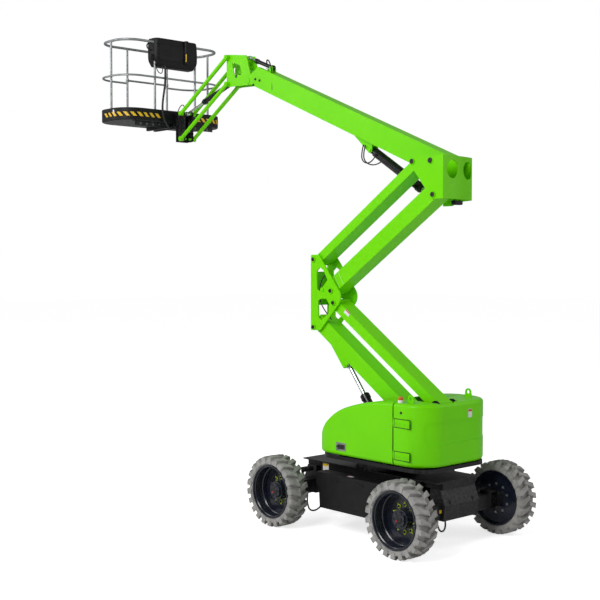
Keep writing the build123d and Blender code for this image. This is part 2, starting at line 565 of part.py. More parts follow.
def boom_head():
    """The fabricated head: a rolled back plate, a plate on each side and one between the booms."""
    rear = HEAD_MAIN.x - 137.0
    top = HEAD_TIE.z + 42.0
    low = HEAD_MAIN.z - 44.0
    side = outline([
        (rear, low), (HEAD_MAIN.x + 17, low), (HEAD_TIE.x + 38, HEAD_TIE.z - 22),
        (HEAD_TIE.x + 38, HEAD_TIE.z + 14), (HEAD_TIE.x - 30, top), (rear, top)], 8)
    far = outline([
        (rear, low), (HEAD_MAIN.x + 70, low - 12), (HEAD_MAIN.x + 190, low - 52),
        (HEAD_MAIN.x + 310, low - 52), (HEAD_TIE.x - 10, HEAD_TIE.z - 120), (HEAD_TIE.x - 60, top),
        (rear, top)], 8)
    middle_y = BOOM_Y + BOOM_WIDTH / 2 + 9.0
    head = upright(side - Pos(BOOM_PIVOT.x, BOOM_PIVOT.z) * Circle(32), HEAD_NEAR - HEAD_PLATE, HEAD_NEAR)
    head += upright(side, middle_y, middle_y + HEAD_PLATE)
    head += upright(far, middle_y, middle_y + HEAD_PLATE)
    head += upright(far, -HEAD_FAR, -HEAD_FAR + HEAD_PLATE)
    at = Pos(rear + HEAD_BACK_RADIUS, HEAD_BACK_Y, (top + low) / 2)
    height = top - low
    back = at * (Cylinder(HEAD_BACK_RADIUS, height) - Cylinder(HEAD_BACK_RADIUS - HEAD_PLATE, height))
    back = back & upright(Pos(rear + 60, (top + low) / 2) * Rectangle(140, height), -HEAD_FAR, HEAD_NEAR)
    for y in (95, -183):
        back -= Pos(rear, y, top - 137) * Rot(0, 90, 0) * Cylinder(HEAD_HOLE, 200)
    head = (head & (at * Cylinder(HEAD_BACK_RADIUS, height + 300))) + back
    for pin in (HEAD_TIE, HEAD_MAIN):
        head += along_y(PIN_RADIUS, middle_y - 6, HEAD_NEAR, pin)
        head += along_y(PIN_RADIUS + 12, HEAD_NEAR, HEAD_NEAR + PIN_HEAD, pin)
    head += along_y(PIN_RADIUS, -HEAD_FAR, middle_y + HEAD_PLATE + 6, BOOM_PIVOT)
    spacer = BOOM_Y - BOOM_WIDTH / 2 - 6
    head += along_y(PIN_RADIUS + 14, -HEAD_FAR, spacer, BOOM_PIVOT)
    head += along_y(PIN_RADIUS + 12, -HEAD_FAR - PIN_HEAD, -HEAD_FAR, BOOM_PIVOT)
    eye_side = EYE_WIDTH / 2 + EYE_GAP
    head += along_y(PIN_RADIUS, -HEAD_FAR - PIN_HEAD, BOOM_Y - eye_side, LUFF_CYL_EYE)
    head += along_y(PIN_RADIUS, BOOM_Y + eye_side, middle_y + HEAD_PLATE + 6, LUFF_CYL_EYE)
    return head


# ---------------------------------------------------------------- cylinders
Ram = namedtuple("Ram", "foot eye barrel rod_length barrel_radius rod_radius pin y eye_width")
RISER_CYL = Ram(RISER_CYL_FOOT, RISER_CYL_EYE, 715.0, 775.0, 48.0, 24.0, PIN_RADIUS, RISER_Y, EYE_WIDTH)
LUFF_CYL = Ram(LUFF_CYL_FOOT, LUFF_CYL_EYE, 849.0, 840.0, 50.0, 26.0, PIN_RADIUS, BOOM_Y, EYE_WIDTH)
JIB_CYL = Ram(JIB_CYL_FOOT, CAGE_UPPER_PIN, 800.0, 820.0, 30.0, 15.0, JIB_PIN, BOOM_Y, 40.0)
LEVEL_CYL = Ram(LEVEL_FOOT, LEVEL_EYE, 342.0, 324.0, 24.0, 12.0, JIB_PIN, BOOM_Y, 36.0)
RAM_BORE = 3.0                    # gap round a rod inside its barrel


def ram_slope(ram):
    return degrees(atan2(ram.eye.z - ram.foot.z, ram.eye.x - ram.foot.x))


def along_x(radius, start, length):
    """A round bar along +X from a starting distance."""
    return Pos(start + length / 2, 0, 0) * Rot(0, 90, 0) * Cylinder(radius, length)


def ram_barrel(ram):
    """A cylinder's tube with its gland collar and its foot eye."""
    boss = ram.pin + BOSS_WALL
    tube = along_x(ram.barrel_radius, boss + 12, ram.barrel - boss - 12)
    tube += Pos(boss / 2 + 8, 0, 0) * Box(boss + 16, ram.eye_width, boss * 1.5)
    tube += along_x(ram.barrel_radius + 7, ram.barrel - 50, 46)
    tube -= along_x(ram.rod_radius + RAM_BORE, boss + 18, ram.barrel)
    tube += along_y(boss, -ram.eye_width / 2, ram.eye_width / 2, Point(0, 0))
    tube -= along_y(ram.pin + PIN_FIT, -ram.eye_width, ram.eye_width, Point(0, 0))
    return turned(Pos(0, ram.y, 0) * tube, ram.foot, ram_slope(ram))


def ram_rod(ram):
    """A cylinder's rod with its eye."""
    length = hypot(ram.eye.x - ram.foot.x, ram.eye.z - ram.foot.z)
    rod = along_x(ram.rod_radius, length - ram.rod_length, ram.rod_length)
    rod += along_y(ram.pin + 14, -ram.eye_width / 2, ram.eye_width / 2, Point(length, 0))
    rod -= along_y(ram.pin + PIN_FIT, -ram.eye_width, ram.eye_width, Point(length, 0))
    return turned(Pos(0, ram.y, 0) * rod, ram.foot, ram_slope(ram))


# ---------------------------------------------------------------- upper boom, nose and jib
ROOT_DEPTH = 250.0
TIP_DEPTH = 236.0
BOOM_DROP = 65.0                  # from the boom pivot down to the section's middle
BOOM_ROOT = 60.0                  # how far the boom reaches behind its pivot
FORK_TOP = 3332.0                 # the open fork's mitred end, along its top and its bottom
FORK_BOTTOM = 3534.0
FORK_FLOOR = 3340.0               # where the bottom wall stops
LEVEL_SLOT = 3190.0               # where the slot for the levelling cylinder starts
NOSE_PLATE_IN = 62.0              # inner and outer faces of the nose and bracket plates
NOSE_PLATE_OUT = 74.0
TUBE_Y = 102.0                    # a jib tube's middle from the jib's middle plane
TUBE_RADIUS = 25.0
TUBE_EYE = 30.0
TUBE_EYE_HALF = 24.0


def upper_boom():
    """The box-section boom with its ears and the open fork that takes the nose."""
    half = BOOM_WIDTH / 2
    root_high = ROOT_DEPTH / 2 - BOOM_DROP
    root_low = -ROOT_DEPTH / 2 - BOOM_DROP
    tip_high = TIP_DEPTH / 2 - BOOM_DROP
    tip_low = -TIP_DEPTH / 2 - BOOM_DROP
    side = [(-BOOM_ROOT, root_high), (-BOOM_ROOT, root_low), (FORK_BOTTOM, tip_low), (FORK_TOP, tip_high)]
    inner = [(-BOOM_ROOT - 1, root_high - LINK_WALL), (-BOOM_ROOT - 1, root_low + LINK_WALL),
             (FORK_BOTTOM + 50, tip_low + LINK_WALL), (FORK_BOTTOM + 50, tip_high - LINK_WALL)]
    boom = upright(outline(side), BOOM_Y - half, BOOM_Y + half)
    boom -= upright(outline(inner), BOOM_Y - half + LINK_WALL, BOOM_Y + half - LINK_WALL)
    floor_cut = Box(FORK_BOTTOM + 40 - FORK_FLOOR, BOOM_WIDTH - 2 * LINK_WALL, 4 * LINK_WALL)
    boom -= Pos((FORK_BOTTOM + 40 + FORK_FLOOR) / 2, BOOM_Y, tip_low) * floor_cut
    slot = Box(FORK_TOP + 40 - LEVEL_SLOT, 76, 6 * LINK_WALL)
    boom -= Pos((FORK_TOP + 40 + LEVEL_SLOT) / 2, BOOM_Y, tip_high) * slot
    boom += along_y(PIN_RADIUS + BOSS_WALL, BOOM_Y - half, BOOM_Y + half, Point(0, 0))
    boom -= along_y(PIN_RADIUS + PIN_FIT, BOOM_Y - BOOM_WIDTH, BOOM_Y + BOOM_WIDTH, Point(0, 0))
    wall_at = tip_high + 4 * (FORK_TOP - LEVEL_FOOT_RUN) / 1000
    for side_y in (-1, 1):
        foot = round_hull([(LEVEL_FOOT_RUN, LEVEL_FOOT_RISE, 26), (LEVEL_FOOT_RUN - 46, wall_at, 6),
                           (LEVEL_FOOT_RUN + 10, wall_at, 6)])
        y_low = BOOM_Y + side_y * 27 - 5
        boom += upright(foot, y_low, y_low + 10)
    boom += along_y(JIB_PIN, BOOM_Y - 38, BOOM_Y + 38, Point(LEVEL_FOOT_RUN, LEVEL_FOOT_RISE))
    boom = turned(boom, BOOM_PIVOT, BOOM_ANGLE)
    foot = LUFF_CYL_FOOT
    ear = round_hull([
        (foot.x, foot.z, 32), (foot.x - 20, foot.z + 110, 8), (foot.x + 260, foot.z + 205, 8)])
    for side_y in (-1, 1):
        y_low = BOOM_Y + side_y * 44 - EAR_PLATE / 2
        boom += upright(ear, y_low, y_low + EAR_PLATE)
    boom += along_y(PIN_RADIUS, BOOM_Y - 62, BOOM_Y + 62, LUFF_CYL_FOOT)
    boom += along_y(PIN_RADIUS, BOOM_Y - half, BOOM_Y + half, NOSE_PIVOT)
    for y_low in (BOOM_Y - half - 8, BOOM_Y + half):
        boom += along_y(PIN_RADIUS + 10, y_low, y_low + 8, NOSE_PIVOT)
    return boom


def fork_plates(sketch):
    """The same plate twice, one each side of the jib's middle plane."""
    low = upright(sketch, BOOM_Y - NOSE_PLATE_OUT, BOOM_Y - NOSE_PLATE_IN)
    return low + upright(sketch, BOOM_Y + NOSE_PLATE_IN, BOOM_Y + NOSE_PLATE_OUT)


def nose():
    """The link at the boom's end that carries the jib and stays level as the boom luffs."""
    side = round_hull([
        (NOSE_PIVOT.x, NOSE_PIVOT.z, 45), (JIB_UPPER_TOP.x, JIB_UPPER_TOP.z, 36),
        (JIB_LOWER_TOP.x, JIB_LOWER_TOP.z, 34), (LEVEL_EYE.x, LEVEL_EYE.z, 28)])
    window = [(-62, -59), (-116, -227), (-273, -251), (-232, -127)]
    side -= outline([(JIB_UPPER_TOP.x + x, JIB_UPPER_TOP.z + z) for x, z in window], 20)
    side -= Pos(NOSE_PIVOT.x, NOSE_PIVOT.z) * Circle(PIN_RADIUS + PIN_FIT)
    for pin in (JIB_UPPER_TOP, JIB_LOWER_TOP):
        side -= Pos(pin.x, pin.z) * Circle(JIB_PIN + PIN_FIT)
    body = fork_plates(side)
    body += along_y(JIB_PIN, BOOM_Y - NOSE_PLATE_OUT, BOOM_Y + NOSE_PLATE_OUT, JIB_CYL_FOOT)
    eye_side = LEVEL_CYL.eye_width / 2 + EYE_GAP
    body += along_y(JIB_PIN, BOOM_Y - NOSE_PLATE_OUT, BOOM_Y - eye_side, LEVEL_EYE)
    body += along_y(JIB_PIN, BOOM_Y + eye_side, BOOM_Y + NOSE_PLATE_OUT, LEVEL_EYE)
    brace = offset_point(NOSE_PIVOT, 98.0, 184.0)
    return body + along_y(26, BOOM_Y - NOSE_PLATE_OUT, BOOM_Y + NOSE_PLATE_OUT, brace)


def jib_arm(top, pin_through):
    """Two parallel jib tubes with an eye at each end and the stub pins that they turn on."""
    arm = None
    reach = TUBE_Y + TUBE_EYE_HALF + 8
    clear = JIB_CYL.eye_width / 2 + EYE_GAP
    for direction in (-1, 1):
        y = BOOM_Y + direction * TUBE_Y
        tube = Pos(0, y, 0) * along_x(TUBE_RADIUS, 0, JIB_LENGTH)
        for x, inner in ((0, NOSE_PLATE_IN), (JIB_LENGTH, clear)):
            tube += along_y(TUBE_EYE, y - TUBE_EYE_HALF, y + TUBE_EYE_HALF, Point(x, 0))
            stub = sorted((BOOM_Y + direction * inner, BOOM_Y + direction * reach))
            tube += along_y(JIB_PIN, stub[0], stub[1], Point(x, 0))
        arm = tube if arm is None else arm + tube
    if pin_through:
        arm += along_y(JIB_PIN, BOOM_Y - reach, BOOM_Y + reach, Point(0, 0))
    return turned(arm, top, -JIB_ANGLE)


BRACKET_DEPTH = 121.0             # jib pins to the bracket's back plate
SWIVEL_X = CAGE_UPPER_PIN.x + 162.0
SWIVEL_RADIUS = 16.0
SWIVEL_SLEEVE = 26.0
SWIVEL_HIGH = CAGE_UPPER_PIN.z - 6.0   # middles of the two lugs that hold the upright pin
SWIVEL_LOW = CAGE_LOWER_PIN.z + 134.0
LUG = 18.0


def cage_bracket():
    """The fabricated bracket on the jib's end, with the upright pin that the cage hangs on."""
    x_back = CAGE_UPPER_PIN.x + BRACKET_DEPTH
    side = round_hull([(CAGE_UPPER_PIN.x, CAGE_UPPER_PIN.z, 36), (CAGE_LOWER_PIN.x, CAGE_LOWER_PIN.z, 36),
                       (x_back - 10, CAGE_UPPER_PIN.z + 26, 10), (x_back - 10, CAGE_LOWER_PIN.z - 26, 10)])
    for pin in (CAGE_UPPER_PIN, CAGE_LOWER_PIN):
        side -= Pos(pin.x, pin.z) * Circle(JIB_PIN + PIN_FIT)
    middle = (CAGE_UPPER_PIN.z + CAGE_LOWER_PIN.z) / 2
    side -= Pos(CAGE_UPPER_PIN.x + 40, middle) * RectangleRounded(50, 150, 20)
    body = fork_plates(side)
    height = JIB_SPREAD + 72
    body += Pos(x_back + 6, BOOM_Y, middle) * Box(12, 2 * NOSE_PLATE_OUT + 40, height)
    reach = SWIVEL_X + 34 - x_back
    for z in (SWIVEL_HIGH, SWIVEL_LOW):
        body += Pos(x_back + reach / 2, BOOM_Y, z) * Box(reach, 90, LUG)
    length = SWIVEL_HIGH - SWIVEL_LOW + 2 * LUG
    return body + Pos(SWIVEL_X, BOOM_Y, (SWIVEL_HIGH + SWIVEL_LOW) / 2) * Cylinder(SWIVEL_RADIUS, length)


# ---------------------------------------------------------------- cage
CAGE_REAR = CAGE_UPPER_PIN.x + 197.0
CAGE_X = CAGE_REAR + CAGE_DEPTH / 2
FLOOR_TOP = CAGE_LOWER_PIN.z + 242.0
FLOOR_THICK = 20.0
TOE_LOW = 14.0                    # the toe board's lower edge below the floor's top
TOE_HEIGHT = 158.0
TOE_WALL = 12.0
MID_INSET = RAIL_INSET - POST_RADIUS - MID_RADIUS + 1.0
BEAM_DEPTH = 64.0
BEAM_WALL = 6.0
ENTRY_RISE = 34.0                 # the entry bar rests above the fixed mid rail's ends
SLEEVE_HALF = 20.0


def cage_ring(height, radius, inset):
    """A closed tube hoop round the cage at a height above the floor."""
    path = RectangleRounded(CAGE_DEPTH - 2 * inset, CAGE_LENGTH - 2 * inset, CAGE_CORNER - inset)
    wire = (Pos(CAGE_X, CAGE_Y, FLOOR_TOP + height) * path).wire()
    section = Plane(origin=wire @ 0, z_dir=wire % 0) * Circle(radius)
    return sweep(section, wire)


def cage_floor():
    inset = TOE_WALL + 1
    plan = RectangleRounded(CAGE_DEPTH - 2 * inset, CAGE_LENGTH - 2 * inset, CAGE_CORNER - inset)
    return Pos(CAGE_X, CAGE_Y, FLOOR_TOP - FLOOR_THICK) * extrude(plan, FLOOR_THICK)


def toe_board():
    outer = RectangleRounded(CAGE_DEPTH, CAGE_LENGTH, CAGE_CORNER)
    inner = RectangleRounded(CAGE_DEPTH - 2 * TOE_WALL, CAGE_LENGTH - 2 * TOE_WALL, CAGE_CORNER - TOE_WALL)
    skirt = extrude(outer, TOE_HEIGHT)
    rims = skirt.edges().group_by(Axis.Z)
    skirt = fillet(rims[0] + rims[-1], TOE_WALL / 2)
    return Pos(CAGE_X, CAGE_Y, FLOOR_TOP - TOE_LOW) * (skirt - extrude(inner, TOE_HEIGHT))


def post_places():
    """Six posts: two on each long side and one at the middle of each end."""
    half_depth = CAGE_DEPTH / 2 - RAIL_INSET
    half_length = CAGE_LENGTH / 2 - RAIL_INSET
    places = [(x * half_depth, y * POST_SPACING) for x in (-1, 1) for y in (-1, 1)]
    places += [(0.0, half_length), (0.0, -half_length)]
    return [(CAGE_X + x, CAGE_Y + y) for x, y in places]


def cage_posts():
    posts = []
    for x, y in post_places():
        posts.append(Pos(x, y, FLOOR_TOP + RAIL_HEIGHT / 2) * Cylinder(POST_RADIUS, RAIL_HEIGHT))
    return posts


def cage_rails():
    """The top rail and the six posts under it."""
    rails = cage_ring(RAIL_HEIGHT, RAIL_RADIUS, RAIL_INSET)
    for post in cage_posts():
        rails += post
    return rails


def cage_mid_rail():
    """The fixed mid rail, open on the entry side between its two posts, and clear of the posts' metal."""
    rail = cage_ring(MID_HEIGHT, MID_RADIUS, MID_INSET)
    gate = Box(160, 2 * POST_SPACING, 100)
    rail -= Pos(CAGE_X + CAGE_DEPTH / 2 - MID_INSET, CAGE_Y, FLOOR_TOP + MID_HEIGHT) * gate
    for post in cage_posts():
        rail -= post
    return rail


def entry_bar():
    """The sliding bar of the entrance, with a sleeve round the post at each end."""
    x = CAGE_X + CAGE_DEPTH / 2 - RAIL_INSET
    z = FLOOR_TOP + MID_HEIGHT + ENTRY_RISE
    bar = along_y(MID_RADIUS, CAGE_Y - POST_SPACING, CAGE_Y + POST_SPACING, Point(x, z))
    for y in (-POST_SPACING, POST_SPACING):
        bar += Pos(x, CAGE_Y + y, z) * Cylinder(POST_RADIUS + 7, 2 * SLEEVE_HALF)
    for y in (-POST_SPACING, POST_SPACING):
        bar -= Pos(x, CAGE_Y + y, z) * Cylinder(POST_RADIUS + 1.5, 4 * SLEEVE_HALF)
    return bar


def cage_beam():
    """The frame under the floor: a pierced angle, two arms and the sleeve on the bracket's pin."""
    high = FLOOR_TOP - FLOOR_THICK
    x_angle = CAGE_REAR + 62
    length = CAGE_LENGTH - 2 * CAGE_CORNER + 190
    plate = Box(BEAM_WALL, length, BEAM_DEPTH)
    frame = Pos(x_angle, CAGE_Y, high - BEAM_DEPTH / 2) * plate
    for index in range(12):
        y = CAGE_Y - 550 + index * 100
        frame -= Pos(x_angle, y, high - BEAM_DEPTH / 2 - 4) * Rot(0, 90, 0) * Cylinder(19, 4 * BEAM_WALL)
    frame += Pos(x_angle + 30, CAGE_Y, high - BEAM_WALL / 2) * Box(60, length, BEAM_WALL)
    for y in (-60, 60):
        run = CAGE_DEPTH - 120
        frame += Pos(x_angle - 40 + run / 2, BOOM_Y + y, high - 25) * Box(run, 40, 50)
    frame += Pos(x_angle - 45, BOOM_Y, high - 25) * Box(70, 160, 50)
    sleeve_low = SWIVEL_LOW + LUG / 2 + 1
    sleeve_high = SWIVEL_HIGH - LUG / 2 - 1
    sleeve_middle = (sleeve_low + sleeve_high) / 2
    neck = x_angle - 45 - SWIVEL_X
    frame += Pos(SWIVEL_X + neck / 2, BOOM_Y, high - 42) * Box(neck, 50, 60)
    frame += Pos(SWIVEL_X, BOOM_Y, sleeve_middle) * Cylinder(SWIVEL_SLEEVE, sleeve_high - sleeve_low)
    return frame - Pos(SWIVEL_X, BOOM_Y, sleeve_middle) * Cylinder(SWIVEL_RADIUS + PIN_FIT, 600)


CONSOLE_LENGTH = 740.0
CONSOLE_DEPTH = 200.0
CONSOLE_HEIGHT = 360.0
CONSOLE_FIT = 3.0                 # gap round the rails that run through the console


def console():
    """The control console on the top rail: a moulded box with a sloped panel and two levers."""
    top = FLOOR_TOP + RAIL_HEIGHT + 45
    back = CAGE_REAR - 22
    face = outline([(back, top - CONSOLE_HEIGHT), (back + CONSOLE_DEPTH, top - CONSOLE_HEIGHT),
                    (back + CONSOLE_DEPTH, top - 90), (back + 90, top), (back, top)], 22)
    half = CONSOLE_LENGTH / 2
    middle_y = CAGE_Y + 10
    shell = upright(face, middle_y - half, middle_y + half)
    shell = fillet(shell.edges().filter_by(Axis.Z).group_by(Axis.X)[0], 40)
    for y in (-150, 150):
        shell += Pos(back + CONSOLE_DEPTH - 50, middle_y + y, top - 50) * Cylinder(9, 90)
        shell += Pos(back + CONSOLE_DEPTH - 50, middle_y + y, top - 5) * Sphere(18)
    handle = Pos(back + 52, middle_y + half + 4, top - 130) * Rot(0, 90, 0) * Torus(46, 9)
    shell += handle
    shell -= cage_ring(RAIL_HEIGHT, RAIL_RADIUS + CONSOLE_FIT, RAIL_INSET)
    for x, y in post_places():
        shell -= Pos(x, y, FLOOR_TOP + RAIL_HEIGHT / 2) * Cylinder(POST_RADIUS + CONSOLE_FIT, RAIL_HEIGHT)
    return shell


# ---------------------------------------------------------------- the assembly
nodes = {}
tyre_shape = tyre()
rim_shape = rim()
for place, (wheel_x, wheel_y) in WHEELS.items():
    side_rim = rim_shape if wheel_y > 0 else mirrored_y(rim_shape)
    side_tyre = tyre_shape if wheel_y > 0 else mirrored_y(tyre_shape)
    nodes["tyre_" + place] = Pos(wheel_x, wheel_y, TYRE_RADIUS) * side_tyre
    nodes["rim_" + place] = Pos(wheel_x, wheel_y, TYRE_RADIUS) * side_rim
nodes["chassis_frame"] = chassis_frame()
nodes["front_axle"] = front_axle()
nodes["rear_axle"] = rear_axle()
nodes["steer_knuckle_left"] = steer_knuckle()
nodes["steer_knuckle_right"] = mirrored_y(steer_knuckle())
nodes["steer_cylinder"] = steer_cylinder()
nodes["steer_rod"] = steer_rod()
nodes["side_cover_left"] = side_cover()
nodes["side_cover_right"] = mirrored_y(side_cover())
nodes["slew_ring"] = slew_ring()
nodes["turntable"] = turntable()
nodes["counterweight"] = counterweight()
nodes["power_pack"] = power_pack()
nodes["hood_door_left"] = hood_door()
nodes["hood_door_right"] = mirrored_y(nodes["hood_door_left"])
nodes["hood_rear"] = hood_rear()
nodes["beacon"] = beacon()
nodes["lifting_eyes"] = side_by_side(lifting_eye())
nodes["riser_lower_boom"] = riser_lower_boom()
nodes["riser_lower_tie"] = riser_link(LOWER_TIE)
nodes["riser_upper_boom"] = riser_link(UPPER_BOOM)
nodes["riser_upper_tie"] = riser_link(UPPER_TIE)
nodes["knuckle"] = knuckle()
nodes["boom_head"] = boom_head()
nodes["riser_cylinder_barrel"] = ram_barrel(RISER_CYL)
nodes["riser_cylinder_rod"] = ram_rod(RISER_CYL)
nodes["upper_boom"] = upper_boom()
nodes["luff_cylinder_barrel"] = ram_barrel(LUFF_CYL)
nodes["luff_cylinder_rod"] = ram_rod(LUFF_CYL)
nodes["level_cylinder_barrel"] = ram_barrel(LEVEL_CYL)
nodes["level_cylinder_rod"] = ram_rod(LEVEL_CYL)
nodes["nose"] = nose()
nodes["jib_cylinder_barrel"] = ram_barrel(JIB_CYL)
nodes["jib_cylinder_rod"] = ram_rod(JIB_CYL)
nodes["jib_upper_arm"] = jib_arm(JIB_UPPER_TOP, True)
nodes["jib_lower_arm"] = jib_arm(JIB_LOWER_TOP, False)
nodes["cage_bracket"] = cage_bracket()
nodes["cage_beam"] = cage_beam()
nodes["cage_floor"] = cage_floor()
nodes["toe_board"] = toe_board()
nodes["cage_rails"] = cage_rails()
nodes["cage_mid_rail"] = cage_mid_rail()
nodes["entry_bar"] = entry_bar()
nodes["control_console"] = console()

boxes = [shape.bounding_box() for shape in nodes.values()]
SHIFT_X = (min(box.min.X for box in boxes) + max(box.max.X for box in boxes)) / 2
SHIFT_Y = (min(box.min.Y for box in boxes) + max(box.max.Y for box in boxes)) / 2
os.makedirs("parts", exist_ok=True)
for name, shape in nodes.items():
    export_step(Pos(-SHIFT_X, -SHIFT_Y, 0) * shape, f"parts/{name}.step")
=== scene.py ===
"""The looks of a self-propelled articulating boom lift, dressed over its CAD frame.

Metres, in the row's frame: +X towards the cage, +Y to the machine's left, +Z up,
with the ground at Z = 0.
"""

import json
import logging
import math
from dataclasses import dataclass
from enum import Enum
from typing import Iterable, Sequence

import bmesh
import bpy
from mathutils import Matrix, Vector

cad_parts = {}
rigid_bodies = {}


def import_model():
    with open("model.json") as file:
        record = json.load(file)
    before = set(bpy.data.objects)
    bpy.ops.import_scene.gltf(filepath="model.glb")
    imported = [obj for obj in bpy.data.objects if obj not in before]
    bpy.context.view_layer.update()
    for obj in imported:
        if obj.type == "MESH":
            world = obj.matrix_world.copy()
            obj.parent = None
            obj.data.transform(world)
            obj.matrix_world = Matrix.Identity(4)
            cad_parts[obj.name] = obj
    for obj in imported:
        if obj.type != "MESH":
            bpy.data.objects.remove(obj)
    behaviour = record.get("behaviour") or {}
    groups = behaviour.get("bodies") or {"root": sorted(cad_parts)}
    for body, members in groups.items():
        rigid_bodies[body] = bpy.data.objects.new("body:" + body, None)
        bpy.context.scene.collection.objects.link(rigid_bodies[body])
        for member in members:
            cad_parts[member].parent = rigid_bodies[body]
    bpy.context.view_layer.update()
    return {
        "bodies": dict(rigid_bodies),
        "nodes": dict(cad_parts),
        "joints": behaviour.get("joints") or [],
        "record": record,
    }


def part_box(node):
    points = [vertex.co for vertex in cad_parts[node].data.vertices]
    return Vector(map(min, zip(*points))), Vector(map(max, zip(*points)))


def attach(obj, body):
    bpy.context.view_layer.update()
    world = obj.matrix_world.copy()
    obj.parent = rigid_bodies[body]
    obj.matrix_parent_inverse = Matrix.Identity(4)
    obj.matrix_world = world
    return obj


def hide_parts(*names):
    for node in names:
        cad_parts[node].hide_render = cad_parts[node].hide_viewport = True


logging.basicConfig(level=logging.INFO, format="%(message)s")
LOG = logging.getLogger("boom_lift")

BMesh = bmesh.types.BMesh
Socket = bpy.types.NodeSocket
Colour = tuple[float, float, float]
Point3 = Sequence[float]
Outline = Sequence[tuple[float, float]]
Head = tuple[float, float]  # radius and height of a bolt's or a pin's head
SIDES = ((1.0, "left"), (-1.0, "right"))


class Slot(Enum):
    """The record's material slots."""

    GREEN_PAINT = "green_paint"
    GREEN_MOULDING = "green_moulding"
    DARK_PAINT = "dark_paint"
    BLACK_PLASTIC = "black_plastic"
    BLACK_CYLINDER = "black_cylinder"
    CHROME_ROD = "chrome_rod"
    GALVANISED = "galvanised"
    BEACON_LENS = "beacon_lens"
    TYRE_RUBBER = "tyre_rubber"
    RIM_PAINT = "rim_paint"


# ------------------------------------------------------------------ finishes
class NodeTree:
    """A short way to add and join shader nodes in one tree."""

    def __init__(self, tree: bpy.types.NodeTree) -> None:
        """Keeps the tree that nodes are added to."""
        self.tree = tree

    def put(self, target: Socket, value: object) -> None:
        """Sets a socket to a constant, or links another socket into it.

        Args:
            target: the socket.
            value: the constant, or the socket that is linked.
        """
        if isinstance(value, Socket):
            self.tree.links.new(value, target)
        else:
            target.default_value = value

    def add(self, kind: str, inputs: dict | None = None, **settings: object) -> bpy.types.Node:
        """Adds one node.

        Args:
            kind: the node's type name.
            inputs: a constant or a socket for each of its inputs, by name or number.
            settings: attributes to set on it.

        Returns:
            The new node.
        """
        node = self.tree.nodes.new(kind)
        for key, value in settings.items():
            setattr(node, key, value)
        for key, value in (inputs or {}).items():
            self.put(node.inputs[key], value)
        return node

    def math(self, operation: str, a: object, b: object = 0.0, clamp: bool = False) -> Socket:
        """One math node over two values or sockets, kept between 0 and 1 where clamp is set."""
        return self.add("ShaderNodeMath", {0: a, 1: b}, operation=operation, use_clamp=clamp).outputs[0]

    def mix(self, factor: Socket, a: object, b: object) -> Socket:
        """One colour mix, where the factor is how much there is of the second colour."""
        return self.add("ShaderNodeMix", {0: factor, 6: a, 7: b}, data_type="RGBA").outputs[2]

    def noise(self, vector: Socket, scale: object, detail: float) -> Socket:
        """A noise value over a vector, at a scale and with a number of octaves."""
        inputs = {"Vector": vector, "Scale": scale, "Detail": detail}
        return self.add("ShaderNodeTexNoise", inputs).outputs["Fac"]

    def ramp(self, value: Socket, low: object, high: object, first: float = 0.0, last: float = 1.0) -> Socket:
        """A value stretched so that low becomes the first number and high the last, clamped."""
        inputs = {0: value, 1: low, 2: high, 3: first, 4: last}
        return self.add("ShaderNodeMapRange", inputs, clamp=True).outputs[0]


def rgba(colour: Colour) -> tuple[float, ...]:
    """A colour with an alpha of 1."""
    return (*colour, 1.0)


def fresh_tree(owner: bpy.types.Material | bpy.types.World) -> NodeTree:
    """Empties the nodes of a material or a world.

    Args:
        owner: the material or world.

    Returns:
        Its empty tree.
    """
    owner.use_nodes = True
    owner.node_tree.nodes.clear()
    return NodeTree(owner.node_tree)


def new_group(name: str, inputs: dict[str, float], outputs: Sequence[str]
              ) -> tuple[bpy.types.NodeTree, NodeTree, bpy.types.Node, bpy.types.Node]:
    """Makes a shader node group of numbers.

    Args:
        name: the group's name.
        inputs: the name and default of each input.
        outputs: the name of each output.

    Returns:
        The group, its helper, its input node and its output node.
    """
    group = bpy.data.node_groups.new(name, "ShaderNodeTree")
    for label, default in inputs.items():
        socket = group.interface.new_socket(label, in_out="INPUT", socket_type="NodeSocketFloat")
        socket.default_value = default
    for label in outputs:
        group.interface.new_socket(label, in_out="OUTPUT", socket_type="NodeSocketFloat")
    tree = NodeTree(group)
    return group, tree, tree.add("NodeGroupInput"), tree.add("NodeGroupOutput")


